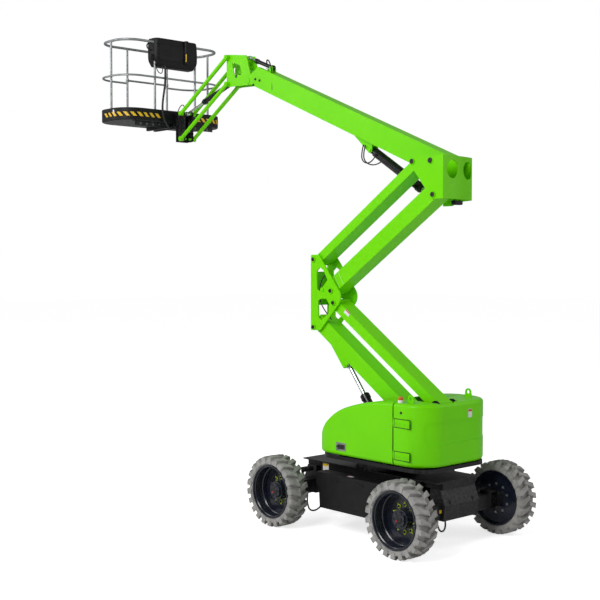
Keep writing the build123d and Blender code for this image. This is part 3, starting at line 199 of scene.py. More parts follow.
class Effects:
    """The node groups that several finishes share."""

    def __init__(self) -> None:
        """Builds each group once."""
        self.dust = self._dust()
        self.grain = self._grain()
        self.wear_and_highlight = self._wear_and_highlight()

    def _dust(self) -> bpy.types.NodeTree:
        """Patches of road dust that thin with height.

        Returns:
            The group, whose Mask is 0 on clean surfaces.
        """
        group, tree, given, out = new_group("road_dust", {"Top": 0.9, "Amount": 0.3, "Scale": 7.0}, ("Mask",))
        place = tree.add("ShaderNodeTexCoord").outputs["Object"]
        height = tree.add("ShaderNodeSeparateXYZ", {0: place}).outputs[2]
        low_down = tree.ramp(height, 0.0, given.outputs["Top"], 1.0, 0.0)
        patches = tree.ramp(tree.noise(place, given.outputs["Scale"], 5.0), 0.35, 0.72)
        amount = tree.math("MULTIPLY", low_down, patches)
        tree.put(out.inputs["Mask"], tree.math("MULTIPLY", amount, given.outputs["Amount"], True))
        return group

    def _grain(self) -> bpy.types.NodeTree:
        """Fine and coarse surface grain.

        Returns:
            The group, with a Height for a Bump node and a Value that varies about 0.5.
        """
        group, tree, given, out = new_group("surface_grain", {"Fine": 400.0, "Coarse": 12.0},
                                            ("Height", "Value"))
        place = tree.add("ShaderNodeTexCoord").outputs["Object"]
        fine = tree.noise(place, given.outputs["Fine"], 2.0)
        coarse = tree.noise(place, given.outputs["Coarse"], 4.0)
        height = tree.math("ADD", tree.math("MULTIPLY", fine, 0.4), tree.math("MULTIPLY", coarse, 0.6))
        tree.put(out.inputs["Height"], height)
        tree.put(out.inputs["Value"], coarse)
        return group

    def _wear_and_highlight(self) -> bpy.types.NodeTree:
        """Small scuffs, and on the lime paint a painted edge highlight, where edges stand out, from the
        surface's pointiness.

        Returns:
            The group, whose Mask is 1 on worn edges and on edges of painted highlight.
        """
        group, tree, given, out = new_group("edge_wear_and_highlight", {"Amount": 0.3, "Scale": 30.0}, ("Mask",))
        place = tree.add("ShaderNodeTexCoord").outputs["Object"]
        edges = tree.ramp(tree.add("ShaderNodeNewGeometry").outputs["Pointiness"], 0.53, 0.60)
        chips = tree.ramp(tree.noise(place, given.outputs["Scale"], 4.0), 0.45, 0.62)
        broken = tree.math("MULTIPLY", edges, chips)
        tree.put(out.inputs["Mask"], tree.math("MULTIPLY", broken, given.outputs["Amount"], True))
        return group


@dataclass(frozen=True)
class Finish:
    """A finish made from a base colour, its grain, and dust and edge wear over it; on the lime paint the edge
    colour is a painted highlight.
    """

    name: str
    colour: Colour
    roughness: float
    metallic: float = 0.0
    coat: float = 0.0
    coat_roughness: float = 0.08
    tint: Colour | None = None
    tint_amount: float = 0.12
    fine: float = 500.0
    coarse: float = 9.0
    bump: float = 0.02
    bump_distance: float = 0.002
    dust: float = 0.0
    dust_top: float = 1.0
    dust_colour: Colour = (0.34, 0.31, 0.27)
    # Edge colour: scuffs on most finishes, a painted edge highlight on the lime paint.
    wear_and_highlight: float = 0.0
    wear_and_highlight_colour: Colour = (0.35, 0.35, 0.35)
    specular: float = 0.5

    def build(self, effects: Effects) -> bpy.types.Material:
        """Makes the material.

        Args:
            effects: the shared node groups.

        Returns:
            The material.
        """
        material = bpy.data.materials.new(self.name)
        tree = fresh_tree(material)
        grain = tree.add("ShaderNodeGroup", {"Fine": self.fine, "Coarse": self.coarse},
                         node_tree=effects.grain)
        value = grain.outputs["Value"]
        shade = tree.math("MULTIPLY", tree.ramp(value, 0.35, 0.7), self.tint_amount)
        colour = tree.mix(shade, rgba(self.colour), rgba(self.tint or tuple(0.8 * c for c in self.colour)))
        rough = tree.math("ADD", self.roughness - 0.04, tree.math("MULTIPLY", value, 0.08))
        # Pointy edges take the edge colour: scuffs, and on the lime paint a painted highlight.
        if self.wear_and_highlight > 0:
            wear_and_highlight = tree.add("ShaderNodeGroup", {"Amount": self.wear_and_highlight}, node_tree=effects.wear_and_highlight)
            colour = tree.mix(wear_and_highlight.outputs["Mask"], colour, rgba(self.wear_and_highlight_colour))
        if self.dust > 0:
            dust = tree.add("ShaderNodeGroup", {"Amount": self.dust, "Top": self.dust_top},
                            node_tree=effects.dust)
            colour = tree.mix(dust.outputs["Mask"], colour, rgba(self.dust_colour))
            rough = tree.math("ADD", rough, tree.math("MULTIPLY", dust.outputs["Mask"], 0.4), True)
        bump = tree.add("ShaderNodeBump", {"Strength": self.bump, "Distance": self.bump_distance,
                                           "Height": grain.outputs["Height"]})
        shader = tree.add("ShaderNodeBsdfPrincipled", {
            "Base Color": colour, "Roughness": rough, "Metallic": self.metallic,
            "Specular IOR Level": self.specular, "Coat Weight": self.coat,
            "Coat Roughness": self.coat_roughness, "Normal": bump.outputs[0]})
        tree.add("ShaderNodeOutputMaterial", {0: shader.outputs[0]})
        return material


FINISHES: dict[Slot, Finish] = {
    # The lime paint's edge colour is a brighter lime: a painted highlight along its edges.
    Slot.GREEN_PAINT: Finish("lime_enamel", (0.180, 0.76, 0.0), 0.34, coat=0.04, coat_roughness=0.15,
                             tint=(0.14, 0.66, 0.001), tint_amount=0.25, coarse=2.5, fine=900.0, bump=0.03,
                             bump_distance=0.001, specular=0.10, wear_and_highlight=0.15, wear_and_highlight_colour=(0.30, 0.85, 0.06)),
    Slot.GREEN_MOULDING: Finish("lime_moulding", (0.180, 0.76, 0.0), 0.30, coat=0.08, coat_roughness=0.12,
                                tint=(0.14, 0.66, 0.001), tint_amount=0.25, coarse=3.0, fine=700.0, bump=0.03,
                                bump_distance=0.001, specular=0.14),
    Slot.DARK_PAINT: Finish("charcoal_paint", (0.006, 0.006, 0.007), 0.40, tint=(0.016, 0.016, 0.018),
                            tint_amount=0.5, coarse=7.0, bump=0.04, dust=0.10, dust_top=0.8,
                            dust_colour=(0.10, 0.095, 0.09), wear_and_highlight=0.3, wear_and_highlight_colour=(0.07, 0.07, 0.07),
                            specular=0.28),
    Slot.BLACK_PLASTIC: Finish("textured_black", (0.005, 0.005, 0.006), 0.50, tint=(0.013, 0.013, 0.014),
                               tint_amount=0.4, fine=900.0, coarse=14.0, bump=0.16, specular=0.28),
    Slot.BLACK_CYLINDER: Finish("black_tube", (0.006, 0.006, 0.007), 0.26, coat=0.2,
                                tint=(0.014, 0.014, 0.015), specular=0.3),
    Slot.CHROME_ROD: Finish("ground_chrome", (0.74, 0.75, 0.77), 0.12, metallic=1.0, tint=(0.66, 0.67, 0.7),
                            bump=0.005),
    Slot.GALVANISED: Finish("galvanised_steel", (0.40, 0.42, 0.43), 0.44, metallic=0.75,
                            tint=(0.27, 0.28, 0.29), tint_amount=0.7, fine=160.0, coarse=22.0, bump=0.05),
    Slot.BEACON_LENS: Finish("amber_lens", (0.82, 0.16, 0.02), 0.2, coat=0.5),
    Slot.TYRE_RUBBER: Finish("grey_rubber", (0.41, 0.40, 0.39), 0.88, tint=(0.25, 0.245, 0.235),
                             tint_amount=0.8, fine=260.0, coarse=11.0, bump=0.4, bump_distance=0.003,
                             dust=0.18, dust_top=0.5,
                             dust_colour=(0.26, 0.235, 0.20), specular=0.2),
    Slot.RIM_PAINT: Finish("navy_black_rim", (0.006, 0.008, 0.019), 0.24, tint=(0.018, 0.021, 0.04),
                           tint_amount=0.5, coarse=9.0, dust=0.08, dust_top=0.9,
                           dust_colour=(0.10, 0.10, 0.10), coat=0.2),
}
HOSE_RUBBER = Finish("hose_rubber", (0.012, 0.012, 0.013), 0.5, tint=(0.03, 0.03, 0.03), fine=700.0,
                     bump=0.08)
DARK_STEEL = Finish("blackened_steel", (0.03, 0.03, 0.033), 0.38, metallic=0.6, tint=(0.06, 0.06, 0.06),
                    tint_amount=0.5, bump=0.03)
ZINC = Finish("zinc_plated", (0.42, 0.42, 0.40), 0.36, metallic=0.9, tint=(0.3, 0.3, 0.28), tint_amount=0.5,
              coarse=40.0)
PLATE_WHITE = Finish("blank_white_plate", (0.80, 0.80, 0.79), 0.4, tint=(0.7, 0.7, 0.7))
PLATE_RED = Finish("blank_red_band", (0.60, 0.04, 0.03), 0.4)
PLATE_YELLOW = Finish("yellow_plastic", (0.85, 0.55, 0.02), 0.4)
NUT_MARK = Finish("nut_marker_lime", (0.55, 0.75, 0.02), 0.45, tint=(0.45, 0.6, 0.02))
RED_CAP = Finish("red_cap", (0.55, 0.02, 0.03), 0.35)
# Pale green over the weld beads: a painted highlight along the plate edges at the upper boom's end.
WELD_HIGHLIGHT = Finish("weld_painted_highlight", (0.42, 0.80, 0.22), 0.5, tint=(0.3, 0.7, 0.1), bump=0.3, fine=300.0)
LIP_PAINT = Finish("rim_lip_paint", (0.012, 0.014, 0.024), 0.30, coat=0.3, tint=(0.07, 0.07, 0.08))
HAZARD_YELLOW = Finish("hazard_yellow", (0.85, 0.52, 0.01), 0.42, tint=(0.7, 0.42, 0.01))
# The tread plate's dark colour is painted shade, for the floor's shaded underside; its edge scuffs are wear.
SHADE_DARKENED_FLOOR_PLATE = Finish("shade_darkened_tread_plate", (0.060, 0.062, 0.066), 0.50, metallic=0.6,
                     tint=(0.030, 0.031, 0.033), tint_amount=0.7, fine=220.0, bump=0.08, wear_and_highlight=0.3,
                     wear_and_highlight_colour=(0.2, 0.2, 0.2))


class Wardrobe:
    """Every finish, made once and handed out."""

    def __init__(self) -> None:
        """Builds the shared effects and an empty shelf of materials."""
        self.effects = Effects()
        self._made: dict[str, bpy.types.Material] = {}

    def get(self, finish: Finish) -> bpy.types.Material:
        """The material of a finish, built on first use."""
        if finish.name not in self._made:
            self._made[finish.name] = finish.build(self.effects)
        return self._made[finish.name]


def dress(thing: bpy.types.Object, material: bpy.types.Material) -> None:
    """Gives an object one material over all of its faces.

    Args:
        thing: the object.
        material: the material.
    """
    if not thing.material_slots:
        thing.data.materials.append(material)
    for each in thing.material_slots:
        each.material = material


def put_in_scene(name: str, data: bpy.types.ID) -> bpy.types.Object:
    """Makes an object and links it to the scene.

    Args:
        name: its name.
        data: its mesh, curve, camera or lamp.

    Returns:
        The object.
    """
    thing = bpy.data.objects.new(name, data)
    bpy.context.scene.collection.objects.link(thing)
    return thing


# ------------------------------------------------------------------ shapes
def seat(origin: Point3, up: Point3, side: Point3 | None = None) -> Matrix:
    """A frame at a point, with its Z along one direction and its X near another.

    Args:
        origin: where the frame stands.
        up: the direction of its Z.
        side: the direction that its X turns to, where that matters.

    Returns:
        The frame as a matrix.
    """
    z = Vector(up).normalized()
    x = Vector(side) if side is not None else z.orthogonal()
    x = (x - z * x.dot(z)).normalized()
    turn = Matrix((x, z.cross(x), z)).transposed().to_4x4()
    turn.translation = Vector(origin)
    return turn


def shifted(place: Matrix, x: float = 0.0, y: float = 0.0, z: float = 0.0) -> Matrix:
    """A frame moved along its own directions."""
    return place @ Matrix.Translation((x, y, z))


def circle_points(count: int, radius: float, lead: float = 0.0) -> list[tuple[float, float, float]]:
    """Evenly spaced points on a circle.

    Args:
        count: how many there are.
        radius: the circle's radius.
        lead: how much of a step the first one stands past the X axis.

    Returns:
        The angle, X and Y of each.
    """
    angles = [math.tau * (index + lead) / count for index in range(count)]
    return [(angle, radius * math.cos(angle), radius * math.sin(angle)) for angle in angles]


def to_data(mesh: BMesh, name: str) -> bpy.types.Mesh:
    """Turns a working mesh into mesh data and frees it.

    Args:
        mesh: the working mesh.
        name: the data's name.

    Returns:
        The data.
    """
    data = bpy.data.meshes.new(name)
    mesh.to_mesh(data)
    mesh.free()
    return data


def join(mesh: BMesh, scratch: BMesh, place: Matrix) -> None:
    """Moves a scratch mesh to its place, adds it to another mesh and frees it.

    Args:
        mesh: the mesh that it joins.
        scratch: the scratch mesh.
        place: its frame.
    """
    scratch.transform(place)
    data = to_data(scratch, "scratch")
    mesh.from_mesh(data)
    bpy.data.meshes.remove(data)


def stamp(mesh: BMesh, data: bpy.types.Mesh, place: Matrix) -> None:
    """Adds a moved copy of mesh data to a mesh, turned outwards again where the move mirrors it.

    Args:
        mesh: the mesh that it joins.
        data: the data, left as it is.
        place: the copy's frame.
    """
    copy = data.copy()
    copy.transform(place)
    if place.determinant() < 0:
        copy.flip_normals()
    mesh.from_mesh(copy)
    bpy.data.meshes.remove(copy)


def round_edges(mesh: BMesh, edges: Iterable[bmesh.types.BMEdge], width: float, segments: int = 2) -> None:
    """Bevels some of a mesh's edges, by a width and in a number of steps."""
    bmesh.ops.bevel(mesh, geom=list(edges), offset=width, offset_type="OFFSET", affect="EDGES",
                    segments=segments, profile=0.5, material=-1, clamp_overlap=True)


def revolve(mesh: BMesh, scratch: BMesh, section: list, place: Matrix, steps: int) -> None:
    """Turns a section a full turn about Z and adds the result to a mesh.

    Args:
        mesh: the mesh that it joins.
        scratch: the scratch mesh that holds the section, freed here.
        section: the section's points and edges.
        place: the axis, as a frame whose Z it is.
        steps: the steps round it.
    """
    bmesh.ops.spin(scratch, geom=section, cent=(0, 0, 0), axis=(0, 0, 1), angle=math.tau, steps=steps,
                   use_merge=True)
    bmesh.ops.remove_doubles(scratch, verts=scratch.verts, dist=1e-6)
    bmesh.ops.recalc_face_normals(scratch, faces=scratch.faces)
    join(mesh, scratch, place)


def add_block(mesh: BMesh, size: Point3, place: Matrix, edge: float = 0.002, segments: int = 2) -> None:
    """Adds a block with rounded edges.

    Args:
        mesh: the mesh that it joins.
        size: its three sides.
        place: its middle and directions.
        edge: the radius of its edges.
        segments: the steps of each edge.
    """
    made = bmesh.ops.create_cube(mesh, size=1.0, matrix=place @ Matrix.Diagonal((*size, 1.0)))
    round_edges(mesh, {e for v in made["verts"] for e in v.link_edges}, edge, segments)


def add_rod(mesh: BMesh, start: Point3, end: Point3, radius: float, tip: float | None = None,
            sides: int = 24, edge: float = 0.0) -> None:
    """Adds a round bar between two points.

    Args:
        mesh: the mesh that it joins.
        start: its first end.
        end: its other end.
        radius: its radius at the start.
        tip: its radius at the end, where that differs.
        sides: its sides.
        edge: the radius of its two rims.
    """
    a, b = Vector(start), Vector(end)
    made = bmesh.ops.create_cone(mesh, cap_ends=True, cap_tris=False, segments=sides, radius1=radius,
                                 radius2=radius if tip is None else tip, depth=(b - a).length,
                                 matrix=seat((a + b) / 2, b - a))
    if edge > 0:
        rims = {e for v in made["verts"] for e in v.link_edges
                if any(len(f.verts) == sides for f in e.link_faces)}
        round_edges(mesh, rims, edge, 2)


def add_lathe(mesh: BMesh, profile: Outline, place: Matrix, steps: int = 32, closed: bool = False) -> None:
    """Adds a turned shape.

    Args:
        mesh: the mesh that it joins.
        profile: radius and height of each point, from one end to the other.
        place: the axis, as a frame whose Z it is.
        steps: the steps round it.
        closed: join the last point to the first.
    """
    scratch = bmesh.new()
    points = [scratch.verts.new((radius, 0.0, height)) for radius, height in profile]
    ends = points[1:] + (points[:1] if closed else [])
    edges = [scratch.edges.new(pair) for pair in zip(points, ends)]
    revolve(mesh, scratch, points + edges, place, steps)


def add_torus(mesh: BMesh, radius: float, bar: float, place: Matrix, sides: int, steps: int) -> None:
    """Adds a round bar bent to a ring.

    Args:
        mesh: the mesh that it joins.
        radius: the ring's radius.
        bar: the bar's radius.
        place: the ring's middle, with Z as its axis.
        sides: the bar's sides.
        steps: the steps round the ring.
    """
    scratch = bmesh.new()
    middle = Matrix.Translation((radius, 0, 0)) @ Matrix.Rotation(math.pi / 2, 4, "X")
    verts = bmesh.ops.create_circle(scratch, segments=sides, radius=bar, matrix=middle)["verts"]
    revolve(mesh, scratch, verts + list({e for v in verts for e in v.link_edges}), place, steps)


def add_plate(mesh: BMesh, outline: Outline, thick: float, place: Matrix, edge: float = 0.0) -> None:
    """Adds a flat plate cut to an outline.

    Args:
        mesh: the mesh that it joins.
        outline: its corners in the frame's XY plane, in order.
        thick: how far it rises along the frame's Z.
        place: its frame.
        edge: the radius of its edges.
    """
    scratch = bmesh.new()
    face = scratch.faces.new([scratch.verts.new((x, y, 0.0)) for x, y in outline])
    grown = bmesh.ops.extrude_face_region(scratch, geom=[face])["geom"]
    bmesh.ops.translate(scratch, vec=(0, 0, thick),
                        verts=[v for v in grown if isinstance(v, bmesh.types.BMVert)])
    bmesh.ops.recalc_face_normals(scratch, faces=scratch.faces)
    if edge > 0:
        round_edges(scratch, scratch.edges, edge, 2)
    join(mesh, scratch, place)


def add_bolt(mesh: BMesh, place: Matrix, radius: float, height: float) -> None:
    """Adds a hexagon bolt head on its washer.

    Args:
        mesh: the mesh that it joins.
        place: the seat of the washer, with Z outwards.
        radius: the head's radius over its corners.
        height: the head's height.
    """
    washer = 0.002
    scratch = bmesh.new()
    bmesh.ops.create_cone(scratch, cap_ends=True, segments=16, radius1=radius * 1.35, radius2=radius * 1.30,
                          depth=washer, matrix=Matrix.Translation((0, 0, washer / 2)))
    head = bmesh.ops.create_cone(scratch, cap_ends=True, segments=6, radius1=radius, radius2=radius * 0.96,
                                 depth=height, matrix=Matrix.Translation((0, 0, washer + height / 2)))
    top = {e for v in head["verts"] if v.co.z > height / 2 for e in v.link_edges
           if e.verts[0].co.z == e.verts[1].co.z}
    round_edges(scratch, top, radius * 0.12, 1)
    join(mesh, scratch, place)


def add_pin_cap(mesh: BMesh, place: Matrix, radius: float, height: float) -> None:
    """Adds a round pin head with a socket in its middle.

    Args:
        mesh: the mesh that it joins.
        place: the seat of the head, with Z outwards.
        radius: the head's radius.
        height: its height.
    """
    add_lathe(mesh, [(0, -0.004), (radius, -0.004), (radius, height * 0.7), (radius * 0.9, height),
                     (radius * 0.42, height), (radius * 0.38, height * 0.3), (0, height * 0.3)], place, 28)


# ------------------------------------------------------------------ the bench
@dataclass(frozen=True)
class Hose:
    """A hose: its body, its radius, and the control points of its route from end to end."""

    name: str
    body: str
    radius: float
    points: tuple[Point3, ...]


class Workshop:
    """The bench where meshes become finished pieces that ride on a body."""

    def __init__(self, wardrobe: Wardrobe) -> None:
        """Keeps the finishes."""
        self.wardrobe = wardrobe

    def deliver(self, mesh: BMesh, name: str, body: str, slot: Slot, finish: Finish | None = None,
                sharp: float = 32.0, replaces: Sequence[str] = ()) -> None:
        """Turns a mesh into a dressed piece on its body.

        Args:
            mesh: the finished mesh, freed here.
            name: the piece's name.
            body: the body that it rides on.
            slot: the record's slot, whose finish it takes unless one is given.
            finish: its finish, the slot's own unless given.
            sharp: the angle past which an edge stays sharp, in degrees.
            replaces: the CAD nodes that it stands for.
        """
        bmesh.ops.recalc_face_normals(mesh, faces=mesh.faces)
        thing = put_in_scene(name, to_data(mesh, name))
        thing.data.shade_smooth()
        thing.data.set_sharp_from_angle(angle=math.radians(sharp))
        if replaces:
            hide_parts(*replaces)
        self.settle(thing, body, slot, finish or FINISHES[slot])

    def settle(self, thing: bpy.types.Object, body: str, slot: Slot, finish: Finish) -> None:
        """Dresses an object and puts it on its body.

        Args:
            thing: the object, a mesh or a curve.
            body: the body that it rides on.
            slot: the record's slot; not used.
            finish: its finish.
        """
        dress(thing, self.wardrobe.get(finish))
        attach(thing, body)
        LOG.info("made %s on %s", thing.name, body)

    def lay(self, hose: Hose) -> None:
        """Makes a hose whose two ends go into the object.

        Args:
            hose: its route.
        """
        data = bpy.data.curves.new(hose.name, "CURVE")
        data.dimensions = "3D"
        data.resolution_u = 8
        data.bevel_depth = 1.0
        data.bevel_resolution = 3
        data.use_fill_caps = True
        line = data.splines.new("NURBS")
        line.points.add(len(hose.points) - 1)
        for point, place in zip(line.points, hose.points):
            point.co = (*place, 1.0)
            point.radius = hose.radius
        line.order_u = 3
        line.use_endpoint_u = True
        thing = put_in_scene(hose.name, data)
        self.settle(thing, hose.body, Slot.BLACK_PLASTIC, HOSE_RUBBER)
        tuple(hose.points[0])
        self.run_of(thing)

    def run_of(self, thing: bpy.types.Object) -> float:
        """The length of a curve's own line.

        Args:
            thing: a curve with a round section.

        Returns:
            Its length.
        """
        data: bpy.types.Curve = thing.data
        radius, data.bevel_depth = data.bevel_depth, 0.0
        line = bpy.data.meshes.new_from_object(thing)
        data.bevel_depth = radius
        places = [v.co.copy() for v in line.vertices]
        bpy.data.meshes.remove(line)
        return sum((b - a).length for a, b in zip(places, places[1:]))


# ------------------------------------------------------------------ studio
@dataclass(frozen=True)
class Lamp:
    """A square soft lamp: its place, the point that it faces, its side and its watts."""

    name: str
    place: Point3
    aim: Point3
    size: float
    watts: float


@dataclass
class Studio:
    """The camera, the lamps, the pale floor and the white surroundings."""

    eye: Point3 = (-10.0996, 8.8705, 2.952)
    yaw: float = -42.07
    pitch: float = -2.13
    lens: float = 67.298
    sensor: float = 36.0
    far_clip: float = 200.0
    surround: float = 0.30
    floor_lift: float = 0.72
    floor_grey: float = 0.9
    floor_half: float = 60.0
    floor_drop: float = 0.001
    lamps: tuple[Lamp, ...] = (Lamp("key", (-3.5, 12.0, 10.0), (0, 0, 2.5), 6.0, 1050.0),
                               Lamp("fill", (-10.0, -7.0, 6.0), (0, 0, 2.5), 7.0, 190.0),
                               Lamp("rim", (8.0, 9.0, 8.0), (0, 0, 3.0), 6.0, 300.0))

    def stand(self, name: str, data: bpy.types.ID, place: Point3, look: Vector) -> bpy.types.Object:
        """Stands a camera or a lamp somewhere.

        Args:
            name: its name.
            data: the camera or the lamp.
            place: where it stands.
            look: the direction that it faces.

        Returns:
            The object.
        """
        thing = put_in_scene(name, data)
        thing.location = place
        thing.rotation_mode = "QUATERNION"
        thing.rotation_quaternion = look.to_track_quat("-Z", "Y")
        return thing

    def camera(self) -> None:
        """Places the camera."""
        data = bpy.data.cameras.new("camera")
        data.lens = self.lens
        data.sensor_width = self.sensor
        data.clip_end = self.far_clip
        yaw, pitch = math.radians(self.yaw), math.radians(self.pitch)
        look = Vector((math.cos(pitch) * math.cos(yaw), math.cos(pitch) * math.sin(yaw), math.sin(pitch)))
        bpy.context.scene.camera = self.stand("camera", data, self.eye, look)

    def light(self, lamp: Lamp) -> None:
        """Adds one lamp.

        Args:
            lamp: what it is.
        """
        data = bpy.data.lights.new(lamp.name, "AREA")
        data.shape = "SQUARE"
        data.size = lamp.size
        data.energy = lamp.watts
        self.stand(lamp.name, data, lamp.place, Vector(lamp.aim) - Vector(lamp.place))

    def seen(self, tree: NodeTree) -> Socket:
        """A socket that is 1 for rays that come from the camera or through glass."""
        path = tree.add("ShaderNodeLightPath").outputs
        return tree.math("MAXIMUM", path["Is Camera Ray"], path["Is Transmission Ray"])

    def world(self) -> None:
        """Makes a plain world: even light, and white wherever it is looked at."""
        world = bpy.data.worlds.new("studio")
        bpy.context.scene.world = world
        tree = fresh_tree(world)
        lift = tree.math("MULTIPLY", self.seen(tree), 1.0 - self.surround)
        strength = tree.math("ADD", lift, self.surround)
        background = tree.add("ShaderNodeBackground", {0: (1.0, 1.0, 1.0, 1.0), 1: strength})
        tree.add("ShaderNodeOutputWorld", {0: background.outputs[0]})

    def floor(self) -> None:
        """Makes a wide pale floor that keeps the machine's soft shadow."""
        mesh = bmesh.new()
        bmesh.ops.create_grid(mesh, x_segments=1, y_segments=1, size=self.floor_half,
                              matrix=Matrix.Translation((0, 0, -self.floor_drop)))
        thing = put_in_scene("floor", to_data(mesh, "floor"))
        material = bpy.data.materials.new("floor_white")
        tree = fresh_tree(material)
        shader = tree.add("ShaderNodeBsdfDiffuse", {0: rgba((self.floor_grey,) * 3)})
        glow = tree.add("ShaderNodeEmission", {1: tree.math("MULTIPLY", self.seen(tree), self.floor_lift)})
        both = tree.add("ShaderNodeAddShader", {0: shader.outputs[0], 1: glow.outputs[0]})
        tree.add("ShaderNodeOutputMaterial", {0: both.outputs[0]})
        dress(thing, material)

    def build(self) -> None:
        """Sets up the whole studio."""
        bpy.context.scene.view_settings.view_transform = "Standard"
        self.camera()
        self.world()
        self.floor()
        for lamp in self.lamps:
            self.light(lamp)
        LOG.info("studio ready")


# ------------------------------------------------------------------ where things are
@dataclass(frozen=True)
class Box:
    """A CAD node's box at rest."""

    low: Vector
    high: Vector

    @property
    def middle(self) -> Vector:
        """The box's middle."""
        return (self.low + self.high) / 2

    @property
    def size(self) -> Vector:
        """The box's three sides."""
        return self.high - self.low

    def face(self, side: float) -> float:
        """The Y of its left face, or of its right one where side is negative."""
        return self.high.y if side > 0 else self.low.y


@dataclass
class Assembly:
    """What every sub-assembly shares: the bench, the joints, and the hoses that it runs."""

    shop: Workshop
    joints: dict[str, dict]
    hoses: tuple[Hose, ...] = ()

    def box(self, node: str) -> Box:
        """The box of a CAD node."""
        low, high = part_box(node)
        return Box(Vector(low), Vector(high))

    def pin(self, joint: str) -> Vector:
        """Where a hinge's axis crosses the plane Y = 0."""
        x, _, z = self.joints[joint]["pos_m"]
        return Vector((x, 0.0, z))

    def blank_plate(self, name: str, place: Matrix, size: tuple[float, float], body: str, slot: Slot,
                    band: Finish) -> None:
        """Makes a small blank plate with a coloured band along its top.

        Args:
            name: the piece's name.
            place: the plate's middle on its surface, with Z outwards.
            size: its sides.
            body: the body that it rides on.
            slot: the slot handed to deliver.
            band: the band's finish.
        """
        wide, tall = size
        sheet, strip = bmesh.new(), bmesh.new()
        add_block(sheet, (wide, tall, 0.0016), shifted(place, z=0.0006), 0.0005, 1)
        upper = shifted(place, y=tall * 0.34, z=0.0014)
        add_block(strip, (wide * 0.94, tall * 0.26, 0.0010), upper, 0.0003, 1)
        self.shop.deliver(sheet, name, body, slot, PLATE_WHITE)
        self.shop.deliver(strip, f"{name}_band", body, slot, band)

    def pieces(self) -> None:
        """Makes every piece but the hoses."""
        raise NotImplementedError

    def build(self) -> None:
        """Makes the pieces, then the hoses."""
        self.pieces()
        for hose in self.hoses:
            self.shop.lay(hose)


